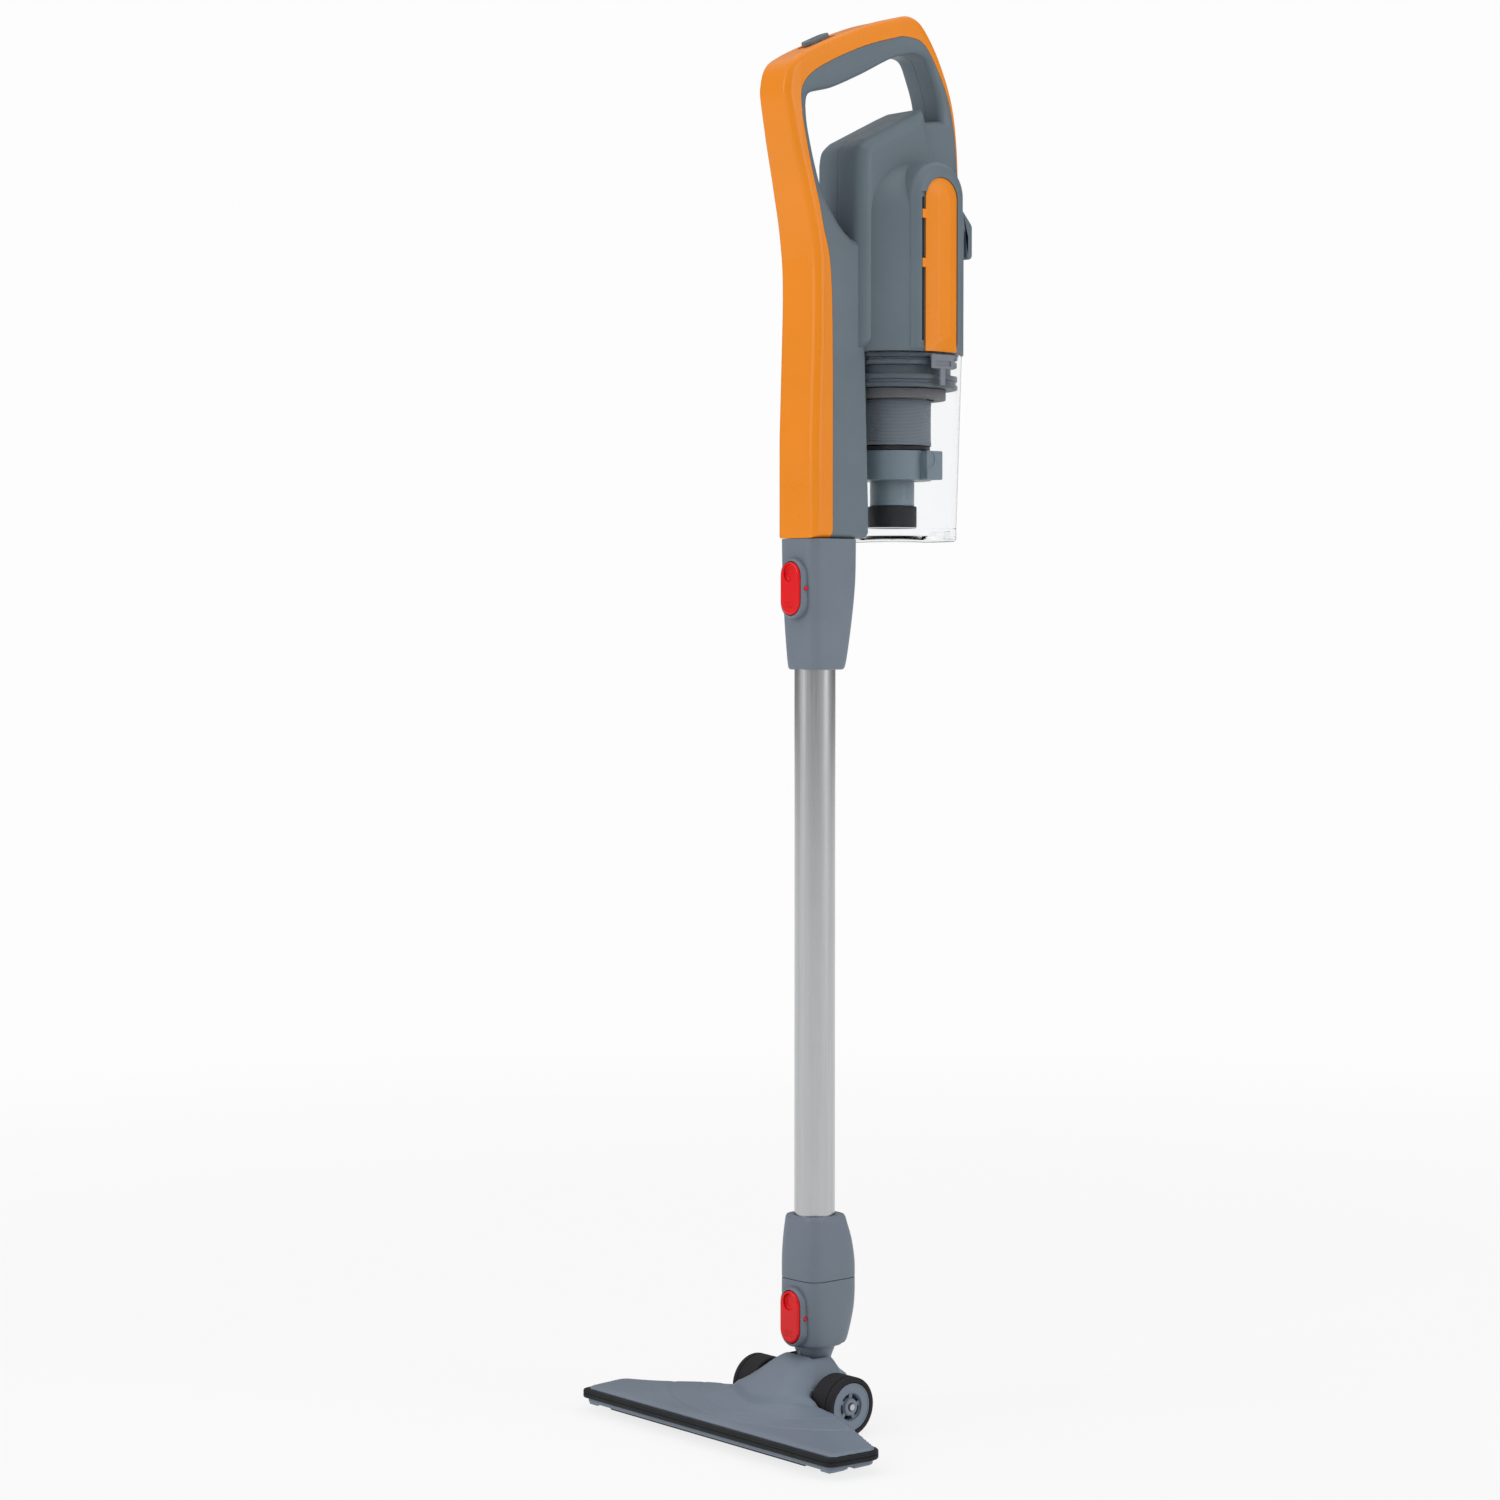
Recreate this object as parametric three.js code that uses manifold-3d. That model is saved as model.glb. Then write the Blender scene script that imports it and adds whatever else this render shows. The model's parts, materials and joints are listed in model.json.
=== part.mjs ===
// Upright stick vacuum cleaner: a wheeled floor head, an aluminium wand and a handheld unit with a dust cup.
// Millimetres, +Z up. The floor head points to -Y, the user stands on the +Y side, +X is the user's left.
// Pieces are drawn with Y measured from the wand's axis; the last group shifts them to the box's centre.
import * as THREE from 'three';
import { mergeVertices } from 'three/addons/utils/BufferGeometryUtils.js';
import Module from 'manifold-3d';

const wasm = await Module();
wasm.setup();

// ---- driving dimensions ----
const GAP = 0.3;                     // clearance kept between neighbouring solids
const WAND_Y = -19;                  // the wand's axis in the part's frame
const WAND_R = 16;
const WAND_WALL = 1.2;
const WAND_BOTTOM = 76;
const WAND_TOP = 650;

const HEAD_FRONT = -115;             // front edge of the floor head
const HEAD_HALF = 146;               // half its width at the front edge
const HEAD_SIDE = 150;               // half its width at the rear corners
const BUMPER_OUT = 3;                // how far the bumper stands out
const SOLE_LOW = 6.1;
const SOLE_HIGH = 10;
const PAD_THICK = 1.3;               // pads under the corners of the sole
const BUMPER_HIGH = 17;
const HEAD_WALL = 2.4;
const HEAD_REAR = -39.5;             // rear edge of the head beside the hump
const HUMP_HALF = 33.4;
const HUMP_REAR = 18;
const BUMPER_REAR = -66.5;           // where the bumper ends round the rear corners
const MOUTH_HALF = 118;              // half width of the suction slot
const STRIP_HALF = 116;
const STRIP_THICK = 2.5;
const STRIP_FRONTS = [-113.2, -88.5];
const STRIP_LOW = 5;
const STRIP_TOP = 7.6;
const SCREW_PLACES = [[110, -74], [-110, -74], [24, -50], [-24, -50]];

const WHEEL_Y = -13;
const WHEEL_R = 23;
const RIM_R = 18.7;
const WHEEL_IN = 35;
const WHEEL_OUT = 58;
const AXLE_R = 2.5;
const BEARING_PLAY = 0.08;

const PIVOT_Z = 34;                  // pitch axis of the neck
const BARREL_R = 15;
const BARREL_HALF = 15;
const PIVOT_PIN_R = 3;
const NECK_TOP = 61;
const SEAM_Z = 114;                  // where the wand's collar meets the head's socket
const COLLAR_TOP = 164;
const TUBE_FIT = 0.35;               // play of the wand in its sockets

const BUTTON_FACE = -27;
const BUTTON_HALF = 11;
const BUTTON_HIGH = 41;
const BUTTON_THICK = 6.6;
const LOWER_BUTTON_Z = 85.5;
const UPPER_BUTTON_Z = 654;
const BUTTON_PIN_R = 1.6;
const BUTTON_PIN_DEPTH = 5.5;        // behind the button's face

const SOCKET_LOW = 591;
const BODY_LOW = 693;                // lower edge of the handheld unit
const CUP_Y = 82;                    // axis of the dust cup and the motor housing
const CUP_TOP_R = 55;
const CUP_LOW_R = 51;
const CUP_WALL = 2.2;
const CUP_LOW = 702;
const HOUSING_LOW = 839;
const HOUSING_R = 56;
const DOME_Z = 945;
const DOME_HEIGHT = 49;
const SHELL_WALL = 2.4;
const BODY_HALF = 22.8;              // half width of the spine
const HANDLE_HALF = 17.8;            // half width of the grip
const EDGE_R = 7;                    // rounding of the spine and grip edges
const BLOCK_HALF = 28;
const BLOCK_EDGE = 11;
const POD_HALF = 56.6;
const POD_R = 27;
const POD_EDGE = 8;
const POD_TOP = 987;
const PANEL_HALF = 16.6;
const PANEL_TOP = 974;
const PANEL_SEAT = 54.8;             // distance of the panel's inner face from the middle
const PANEL_FACE = 59.6;
const TAB_CENTRES = [907, 945];
const VENT_LOW = 847;
const VENT_TOP = 958;
const GLAND_Z = 868;
const HOUSING_BACK = 136;
const HOOK_HALF = 15;

const GRIP_SLOPE = 24;               // degrees
const SWITCH_Y = 4;
const SWITCH_Z = 1078.8;
const SLIDER_R = 6;
const SLIDER_REACH = 7;              // from its middle to the centres of its round ends

const DUCT_HALF = 12.7;
const DUCT_BORE = 11;
const DUCT_TOP = 762;
const BRANCH_LOW = 742;

const MOTOR_R = 34;
const MOTOR_LOW = 884;
const MOTOR_TOP = 930;
const SHAFT_R = 2.5;
const FAN_R = 40;
const FAN_BLADES = 6;

const FILTER_TOP = 803.1;
const MESH_R = 31;
const MESH_LOW = 767.3;
const SEAL_R = 42.4;
const GUIDE_LOW = 740;
const GUIDE_TOP = 763;
const BOSS_FACE = 38.4;
const OUTLET_R = 17.6;
const OUTLET_LOW = 720;
const BOOT_R = 19.5;
const HINGE_Y = 136.2;
const HINGE_Z = 697;
const HINGE_R = 3;
const HINGE_PIN_R = 1.6;
const CLIP_IN = 56.4;
const CLIP_OUT = 58.6;
const CLIP_HALF = 12;
const CLIP_LOW = 813;
const CLIP_TOP = 836.6;

const GREY = 0x68747b;
const HEAD_GREY = 0x87929c;
const DARK_GREY = 0x4a545c;
const ORANGE = 0xee902d;
const RED = 0xeb1c24;
const RUBBER = 0x2b2d2f;
const STEEL = 0xb4b8bc;
const ALUMINIUM = 0xbec2c6;
const CLEAR = 0xdfe6ea;
const FILTER = 0x5d656c;
const PAPER = 0xe6e2d8;
const CIRCUIT = 0x2f6b45;

// ---- solids and booleans ----
function toSolid(geometry) {
  const bare = geometry.clone();
  bare.deleteAttribute('normal');
  bare.deleteAttribute('uv');
  const merged = mergeVertices(bare, 1e-4);
  return new wasm.Manifold(new wasm.Mesh({
    numProp: 3,
    vertProperties: new Float32Array(merged.attributes.position.array),
    triVerts: new Uint32Array(merged.index.array),
  }));
}

function toGeometry(solid) {
  const mesh = solid.getMesh();
  const geometry = new THREE.BufferGeometry();
  geometry.setAttribute('position', new THREE.BufferAttribute(mesh.vertProperties, 3));
  geometry.setIndex(new THREE.BufferAttribute(mesh.triVerts, 1));
  geometry.computeVertexNormals();
  return geometry;
}

function joined(...solids) {
  return solids.reduce((whole, piece) => whole.add(piece));
}

function cut(solid, ...tools) {
  return tools.reduce((rest, tool) => rest.subtract(tool), solid);
}

// ---- basic shapes, each returned as a solid ----
function box(xLow, xHigh, yLow, yHigh, zLow, zHigh) {
  const geometry = new THREE.BoxGeometry(xHigh - xLow, yHigh - yLow, zHigh - zLow);
  geometry.translate((xLow + xHigh) / 2, (yLow + yHigh) / 2, (zLow + zHigh) / 2);
  return toSolid(geometry);
}

function post(radius, x, y, zLow, zHigh, sides = 32, topRadius = radius) {
  const geometry = new THREE.CylinderGeometry(topRadius, radius, zHigh - zLow, sides);
  geometry.rotateX(Math.PI / 2);
  geometry.translate(x, y, (zLow + zHigh) / 2);
  return toSolid(geometry);
}

function rod(radius, xLow, xHigh, y, z, sides = 24) {
  const geometry = new THREE.CylinderGeometry(radius, radius, xHigh - xLow, sides);
  geometry.rotateZ(Math.PI / 2);
  geometry.translate((xLow + xHigh) / 2, y, z);
  return toSolid(geometry);
}

// A closed ring or disc turned about the vertical through (0, y); the profile is [radius, z] points.
function turned(profile, y, sides = 40) {
  const points = vectors(profile);
  points.push(points[0].clone());
  const geometry = new THREE.LatheGeometry(points, sides);
  geometry.rotateX(Math.PI / 2);
  geometry.translate(0, y, 0);
  return toSolid(geometry);
}

// A side view, drawn in (y, z), given its width along X. Its rims are rounded by edge, or flared by it.
function sideSolid(shape, xLow, xHigh, { edge = 0, steps = 2, inset = 0, curve = 2, flared = false } = {}) {
  const size = flared ? -edge : edge;
  const geometry = new THREE.ExtrudeGeometry(shape, {
    depth: xHigh - xLow - 2 * edge,
    bevelEnabled: true,
    bevelThickness: edge,
    bevelSize: size,
    bevelOffset: -size - inset,
    bevelSegments: edge > 0 ? steps : 0,
    curveSegments: curve,
  });
  geometry.translate(0, 0, xLow + edge);
  const basis = new THREE.Matrix4().set(0, 0, 1, 0, 1, 0, 0, 0, 0, 1, 0, 0, 0, 0, 0, 1);
  geometry.applyMatrix4(basis);
  return toSolid(geometry);
}

// A plan view, drawn in (x, y), given its height along Z.
function planSolid(shape, zLow, zHigh, inset = 0, curve = 4) {
  const geometry = new THREE.ExtrudeGeometry(shape, {
    depth: zHigh - zLow,
    bevelEnabled: true,
    bevelThickness: 0,
    bevelSize: 0,
    bevelOffset: -inset,
    bevelSegments: 0,
    curveSegments: curve,
  });
  geometry.translate(0, 0, zLow);
  return toSolid(geometry);
}

function polygon(points) {
  return new THREE.Shape(points.map(([a, b]) => new THREE.Vector2(a, b)));
}

function vectors(points) {
  return points.map(([a, b]) => new THREE.Vector2(a, b));
}

// An upright stadium outline in (x, z) or (y, z), half wide and high tall in all.
function stadium(centre, middle, half, high) {
  const straight = high / 2 - half;
  const shape = new THREE.Shape();
  shape.absarc(centre, middle + straight, half, 0, Math.PI, false);
  shape.absarc(centre, middle - straight, half, Math.PI, 2 * Math.PI, false);
  shape.closePath();
  return shape;
}

// A stadium prism seen from the front, between two distances y.
function frontStadium(z, half, high, yLow, yHigh, edge = 0) {
  const geometry = new THREE.ExtrudeGeometry(stadium(0, 0, half, high), {
    depth: yHigh - yLow - edge,
    bevelEnabled: true,
    bevelThickness: edge,
    bevelSize: edge,
    bevelOffset: -edge,
    bevelSegments: edge > 0 ? 1 : 0,
    curveSegments: 5,
  });
  geometry.rotateX(Math.PI / 2);
  geometry.translate(0, yHigh, z);
  const solid = toSolid(geometry);
  const behind = box(-half - 1, half + 1, yHigh, yHigh + edge + 1, z - high, z + high);
  return edge > 0 ? cut(solid, behind) : solid;
}

// A rounded box section that changes with height: each level is { z, half, front, back, round }.
function lofted(levels, sides = 24) {
  const geometry = new THREE.CylinderGeometry(1, 1, levels.length - 1, sides, levels.length - 1);
  const place = geometry.attributes.position;
  for (let i = 0; i < place.count; i += 1) {
    const level = levels[Math.round(place.getY(i) + (levels.length - 1) / 2)];
    const away = Math.hypot(place.getX(i), place.getZ(i));
    const angle = Math.atan2(place.getX(i), place.getZ(i));
    const power = 2 / (level.round ?? 4);
    const across = Math.sign(Math.cos(angle)) * Math.abs(Math.cos(angle)) ** power;
    const along = Math.sign(Math.sin(angle)) * Math.abs(Math.sin(angle)) ** power;
    const middle = (level.front + level.back) / 2;
    const depth = (level.back - level.front) / 2;
    place.setXYZ(i, away * across * level.half, middle + away * along * depth, level.z);
  }
  return toSolid(geometry);
}

// ---- the group that everything goes into ----
const model = new THREE.Group();
model.position.y = WAND_Y;

function add(name, solid, color, roughness = 0.55, metalness = 0, extra = {}) {
  const material = new THREE.MeshStandardMaterial({ color, roughness, metalness, ...extra });
  const mesh = new THREE.Mesh(toGeometry(solid), material);
  mesh.name = name;
  model.add(mesh);
}

const SIDES = [['left', 1], ['right', -1]];

function mirrored(solid, side) {
  return side > 0 ? solid : solid.mirror([1, 0, 0]);
}

// ---- floor head ----
function headOutline() {
  const shape = new THREE.Shape();
  shape.moveTo(-HEAD_HALF + 5, HEAD_FRONT);
  shape.lineTo(HEAD_HALF - 5, HEAD_FRONT);
  shape.quadraticCurveTo(HEAD_HALF, HEAD_FRONT, HEAD_HALF + 0.5, HEAD_FRONT + 5);
  shape.lineTo(HEAD_SIDE - 0.5, -80);
  shape.quadraticCurveTo(HEAD_SIDE, -72, HEAD_SIDE - 7, -69);
  shape.quadraticCurveTo(102, -50, 66, HEAD_REAR);
  shape.lineTo(HUMP_HALF, HEAD_REAR);
  shape.lineTo(HUMP_HALF, HUMP_REAR - 6);
  shape.lineTo(HUMP_HALF - 6.4, HUMP_REAR);
  shape.lineTo(6.4 - HUMP_HALF, HUMP_REAR);
  shape.lineTo(-HUMP_HALF, HUMP_REAR - 6);
  shape.lineTo(-HUMP_HALF, HEAD_REAR);
  shape.lineTo(-66, HEAD_REAR);
  shape.quadraticCurveTo(-102, -50, -HEAD_SIDE + 7, -69);
  shape.quadraticCurveTo(-HEAD_SIDE, -72, -HEAD_SIDE + 0.5, -80);
  shape.lineTo(-HEAD_HALF - 0.5, HEAD_FRONT + 5);
  shape.quadraticCurveTo(-HEAD_HALF, HEAD_FRONT, -HEAD_HALF + 5, HEAD_FRONT);
  return shape;
}

function smooth(low, high, value) {
  return THREE.MathUtils.smoothstep(value, low, high);
}

// Height of the head's top: a plate that rises towards the middle of its rear edge, and the hump on it.
function headHeight(x, y) {
  const across = Math.abs(x);
  const lip = 2 * smooth(0, 8, y - HEAD_FRONT);
  const plate = BUMPER_HIGH + lip + 6 * smooth(-100, -38, y) * smooth(HEAD_SIDE, 55, across);
  const reach = 40 + 14 * smooth(-10, -60, y);
  const hump = 25 * smooth(-74, -14, y) * (1 - smooth(12, reach, across));
  const rear = 9 * smooth(2, HUMP_REAR, y);
  return plate + hump - rear;
}

// Everything under the head's top, or under its inner face when it is lowered.
function underHead(lowered, low) {
  const geometry = new THREE.BoxGeometry(2 * HEAD_SIDE + 20, 150, 1, 20, 10, 1);
  geometry.translate(0, -48, 0);
  const place = geometry.attributes.position;
  for (let i = 0; i < place.count; i += 1) {
    const top = headHeight(place.getX(i), place.getY(i)) - lowered;
    place.setZ(i, place.getZ(i) > 0 ? top : low);
  }
  return toSolid(geometry);
}

function headTopShell() {
  const outline = headOutline();
  const outer = planSolid(outline, SOLE_HIGH + GAP, 80).intersect(underHead(0, -5));
  const inner = planSolid(outline, -1, 80, 2 * HEAD_WALL + 1).intersect(underHead(HEAD_WALL, -5));
  const bumperSeat = cut(
    planSolid(outline, SOLE_HIGH - 1, BUMPER_HIGH + GAP, -5),
    planSolid(outline, SOLE_HIGH - 2, BUMPER_HIGH + 1, HEAD_WALL + GAP),
    box(-200, 200, BUMPER_REAR + 0.5, 60, 0, 60),
  );
  const neckWay = joined(
    box(-BARREL_HALF - 1, BARREL_HALF + 1, -BARREL_R - 2, 40, PIVOT_Z - 6, 90),
    box(-BARREL_HALF - 1, BARREL_HALF + 1, 0, 40, PIVOT_Z - 14, 90),
    rod(BARREL_R + 1.5, -BARREL_HALF - 1, BARREL_HALF + 1, 0, PIVOT_Z, 24),
  );
  const axleWay = rod(AXLE_R + GAP, -40, 40, WHEEL_Y, WHEEL_R, 12);
  const cheek = box(BARREL_HALF + 1, BARREL_HALF + 5, -20, 14, SOLE_HIGH + 2, PIVOT_Z + 8);
  const cheeks = joined(cheek, mirrored(cheek, -1)).intersect(underHead(1, -5));
  const pinWay = rod(PIVOT_PIN_R + GAP, -BARREL_HALF - 3.5, BARREL_HALF + 3.5, 0, PIVOT_Z, 12);
  return cut(joined(cut(outer, inner), cheeks), bumperSeat, neckWay, axleWay, pinWay);
}

function headSolePlate() {
  const outline = headOutline();
  const plate = planSolid(outline, SOLE_LOW, SOLE_HIGH, 1.2);
  const feet = SIDES.map(([, side]) => mirrored(box(120, 130, -98, -85, 0, SOLE_LOW + 1), side));
  const pads = SIDES.map(([, side]) => mirrored(
    joined(
      box(133, 143, -113, -100, SOLE_LOW - PAD_THICK, SOLE_LOW + 1),
      box(133, 144, -89, -78, SOLE_LOW - PAD_THICK, SOLE_LOW + 1),
    ),
    side,
  ));
  const mouth = box(-MOUTH_HALF, MOUTH_HALF, -108, -92, -1, 20);
  const notches = SIDES.map(([, side]) => mirrored(box(135, 160, -98, -91, 0, SOLE_LOW + 1.6), side));
  const screwWays = SCREW_PLACES.map(([x, y]) => post(2.3, x, y, -1, 20, 16));
  const stripSeats = STRIP_FRONTS.map((y) => lintStrip(y, GAP));
  return cut(joined(plate, ...feet, ...pads), mouth, ...notches, ...screwWays, ...stripSeats);
}

// A strip beside the suction slot, or the seat for it when it is given some play.
function lintStrip(front, play) {
  const reach = STRIP_HALF + play;
  const top = play > 0 ? STRIP_TOP : STRIP_TOP - GAP;
  return box(-reach, reach, front - play, front + STRIP_THICK + play, STRIP_LOW, top);
}

function headBumper() {
  const outline = headOutline();
  const band = cut(
    planSolid(outline, SOLE_HIGH + GAP, BUMPER_HIGH, -BUMPER_OUT),
    planSolid(outline, SOLE_HIGH - 2, BUMPER_HIGH + 1, HEAD_WALL),
  );
  return cut(band, box(-200, 200, BUMPER_REAR, 60, 0, 60));
}

function addFloorHead() {
  add('head_top_shell', headTopShell(), HEAD_GREY);
  add('head_sole_plate', headSolePlate(), HEAD_GREY);
  add('head_bumper', headBumper(), RUBBER, 0.8);
  add('lint_strip_front', lintStrip(STRIP_FRONTS[0], 0), RUBBER, 0.95);
  add('lint_strip_rear', lintStrip(STRIP_FRONTS[1], 0), RUBBER, 0.95);
  SCREW_PLACES.forEach(([x, y], index) => {
    const head = post(2.1, x, y, SOLE_LOW + 0.6, SOLE_LOW + 1.6, 8);
    const screw = joined(post(1.7, x, y, SOLE_LOW + 1.5, 13, 8), head);
    add(`sole_screw_${index + 1}`, screw, STEEL, 0.35, 1);
  });
  for (const [name, side] of SIDES) {
    const axle = joined(
      rod(AXLE_R, 24, WHEEL_OUT + 0.6, WHEEL_Y, WHEEL_R, 12),
      rod(4, 22.6, 27.2, WHEEL_Y, WHEEL_R, 12),
    );
    add(`axle_${name}`, mirrored(axle, side), STEEL, 0.35, 1);
  }
}

// Radius of a twelve-sided hole that a twelve-sided pin of this radius can turn in.
function bearing(radius) {
  return (radius + BEARING_PLAY) / Math.cos(Math.PI / 12);
}

// ---- wheels ----
function wheelRim() {
  const windows = [];
  for (let i = 0; i < 6; i += 1) {
    const angle = (i * Math.PI) / 3;
    windows.push(rod(3, WHEEL_OUT - 12, WHEEL_OUT + 1, 9.6 * Math.cos(angle), 9.6 * Math.sin(angle), 6));
  }
  const dish = cut(rod(13.6, WHEEL_OUT - 2, WHEEL_OUT + 1, 0, 0, 24), rod(5.8, 0, 100, 0, 0, 12));
  const back = cut(rod(16, WHEEL_IN - 1, WHEEL_IN + 7, 0, 0, 24), rod(6, 0, 100, 0, 0, 12));
  const disc = rod(RIM_R - GAP, WHEEL_IN + 0.6, WHEEL_OUT - 0.3, 0, 0, 28);
  const bore = rod(bearing(AXLE_R), 0, 100, 0, 0, 12);
  return cut(disc, dish, back, bore, ...windows).translate([0, WHEEL_Y, WHEEL_R]);
}

function wheelTyre() {
  const middle = (WHEEL_IN + WHEEL_OUT) / 2;
  const half = (WHEEL_OUT - WHEEL_IN) / 2;
  const points = vectors([
    [RIM_R, -half], [WHEEL_R - 1.6, -half], [WHEEL_R, -half + 1.8],
    [WHEEL_R, half - 1.8], [WHEEL_R - 1.6, half], [RIM_R, half], [RIM_R, -half],
  ]);
  const geometry = new THREE.LatheGeometry(points, 28);
  geometry.rotateZ(Math.PI / 2);
  geometry.translate(middle, WHEEL_Y, WHEEL_R);
  return toSolid(geometry);
}

function addWheels() {
  for (const [name, side] of SIDES) {
    add(`wheel_rim_${name}`, mirrored(wheelRim(), side), HEAD_GREY);
    add(`wheel_tyre_${name}`, mirrored(wheelTyre(), side), RUBBER, 0.85);
  }
}

// ---- neck ----
function addNeck() {
  const outer = joined(
    rod(BARREL_R, -BARREL_HALF, BARREL_HALF, 0, PIVOT_Z, 24),
    post(11.5, 0, 0, PIVOT_Z, 48, 24, 12.5),
    post(12.5, 0, 0, 48, NECK_TOP - GAP, 24, 16.3),
    post(12.2, 0, 0, NECK_TOP - 1, 68, 24),
    post(14, 0, 0, 66.5, 69, 24),
  );
  const bore = joined(post(9.4, 0, 0, PIVOT_Z - 30, 80, 20), box(-9, 9, -9, 9, PIVOT_Z - 30, PIVOT_Z));
  const pinWay = rod(bearing(PIVOT_PIN_R), -30, 30, 0, PIVOT_Z, 12);
  add('neck_elbow', cut(outer, bore, pinWay), GREY);
  for (const [name, side] of SIDES) {
    const pin = rod(PIVOT_PIN_R, 10.4, BARREL_HALF + 3.2, 0, PIVOT_Z, 12);
    add(`neck_pin_${name}`, mirrored(pin, side), STEEL, 0.35, 1);
  }
}

// ---- sockets with their release buttons ----
function buttonPin(z, radius, reach) {
  return rod(radius, -reach, reach, BUTTON_FACE + BUTTON_PIN_DEPTH, z, 16);
}

function buttonSeat(z) {
  const boss = frontStadium(z, BUTTON_HALF + 2.2, BUTTON_HIGH + 6, BUTTON_FACE + 2.6, BUTTON_FACE + 12, 1.2);
  const recess = frontStadium(z, BUTTON_HALF + 0.7, BUTTON_HIGH + 1.4, BUTTON_FACE - 4, BUTTON_FACE + 8.4);
  return { boss, recess, pinWay: buttonPin(z, BUTTON_PIN_R + GAP, 20) };
}

function addButton(name, z) {
  const cap = frontStadium(z, BUTTON_HALF, BUTTON_HIGH, BUTTON_FACE, BUTTON_FACE + BUTTON_THICK, 1.2);
  const fingerRest = frontStadium(z + 11, 6.2, 13.6, BUTTON_FACE - 1, BUTTON_FACE + 0.8);
  add(`${name}_button`, cut(cap, fingerRest, buttonPin(z, BUTTON_PIN_R + 0.15, 20)), RED, 0.35);
  add(`${name}_button_pin`, buttonPin(z, BUTTON_PIN_R, 14.1), RED, 0.35);
}

function headSocket() {
  const outer = lofted([
    { z: NECK_TOP, half: 18.5, front: -17.5, back: 18.5, round: 3.6 },
    { z: 66, half: 20, front: -19.2, back: 22.5, round: 4 },
    { z: 86, half: 21.6, front: -20.6, back: 27.4, round: 4.4 },
    { z: 100, half: 22, front: -21, back: 28.8, round: 4.6 },
    { z: SEAM_Z - GAP, half: 22, front: -21, back: 29, round: 4.6 },
  ]);
  const { boss, recess, pinWay } = buttonSeat(LOWER_BUTTON_Z);
  const swivelWay = joined(post(12.7, 0, 0, 40, 67, 24), post(14.5, 0, 0, 66.1, 69.4, 24));
  const airWay = post(11, 0, 0, 60, 90, 24);
  const wandSeat = post(WAND_R + TUBE_FIT, 0, 0, WAND_BOTTOM - 1, SEAM_Z + 16);
  return cut(joined(outer, boss), recess, pinWay, swivelWay, airWay, wandSeat);
}

function wandCollar() {
  const outer = lofted([
    { z: SEAM_Z, half: 22, front: -21, back: 29, round: 4.6 },
    { z: 128, half: 22, front: -21, back: 28.6, round: 4.6 },
    { z: 144, half: 21.4, front: -20.4, back: 26, round: 4.4 },
    { z: 158, half: 20.2, front: -19.4, back: 22, round: 4 },
    { z: COLLAR_TOP, half: 19.4, front: -18.6, back: 20.4, round: 3.8 },
  ]);
  return cut(outer, post(WAND_R + GAP, 0, 0, 100, 200));
}

function wandSocket() {
  const outer = lofted([
    { z: SOCKET_LOW, half: 18.6, front: -16.6, back: 19.4, round: 3.8 },
    { z: 600, half: 19.4, front: -17.4, back: 21.4, round: 4.2 },
    { z: 630, half: 20.8, front: -19.2, back: 25.6, round: 4.6 },
    { z: 660, half: 21.8, front: -20.4, back: 28.4, round: 4.8 },
    { z: BODY_LOW - GAP, half: 22, front: -21, back: 29, round: 4.8 },
  ]);
  const { boss, recess, pinWay } = buttonSeat(UPPER_BUTTON_Z);
  const bore = joined(post(WAND_R + TUBE_FIT, 0, 0, 580, WAND_TOP + 1), post(13, 0, 0, 640, 700, 24));
  return cut(joined(outer, boss), recess, pinWay, bore);
}

function addSockets() {
  add('head_socket', headSocket(), GREY);
  addButton('lower', LOWER_BUTTON_Z);
  add('wand_collar', wandCollar(), GREY);
  add('wand_socket', wandSocket(), GREY);
  addButton('upper', UPPER_BUTTON_Z);
}

function addWand() {
  const tube = turned([
    [WAND_R - WAND_WALL, WAND_BOTTOM],
    [WAND_R, WAND_BOTTOM],
    [WAND_R, WAND_TOP],
    [WAND_R - WAND_WALL, WAND_TOP],
  ], 0, 32);
  add('wand_tube', tube, ALUMINIUM, 0.3, 1);
}

// ---- handheld unit: outlines in side view, (y, z) ----
// The spine, the grip above it and the rear leg of the handle, around the opening for the hand.
function frameOutline() {
  const shape = new THREE.Shape();
  shape.moveTo(-20.7, BODY_LOW);
  shape.lineTo(-20.7, 770);
  shape.splineThru(vectors([[-17.4, 880], [-20.5, 924], [-29, 963], [-37.5, 997], [-43.6, 1026]]));
  shape.splineThru(vectors([[-44.6, 1038], [-40, 1054], [-27, 1064], [5, 1079], [44, 1094], [70, 1101.5]]));
  shape.splineThru(vectors([[86, 1105], [101, 1098], [119, 1073], [133, 1040], [138, 1005], [138, 960]]));
  shape.lineTo(138, 895);
  shape.lineTo(60, 895);
  shape.lineTo(60, 846);
  shape.lineTo(40, 846);
  shape.lineTo(40, BODY_LOW);
  shape.closePath();
  return shape;
}

function handOpening() {
  const shape = new THREE.Shape();
  shape.moveTo(31, 925);
  shape.lineTo(21, 925);
  shape.splineThru(vectors([[8, 936], [-7, 957], [-15, 980], [-21.5, 1008], [-23, 1024]]));
  shape.splineThru(vectors([[-19, 1034], [5, 1041], [36, 1054.5], [68, 1070], [90, 1076]]));
  shape.splineThru(vectors([[102, 1073], [110, 1058], [116, 1042], [118.5, 1026]]));
  shape.lineTo(89, 1022);
  shape.lineTo(31, 992);
  shape.closePath();
  return shape;
}

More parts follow.
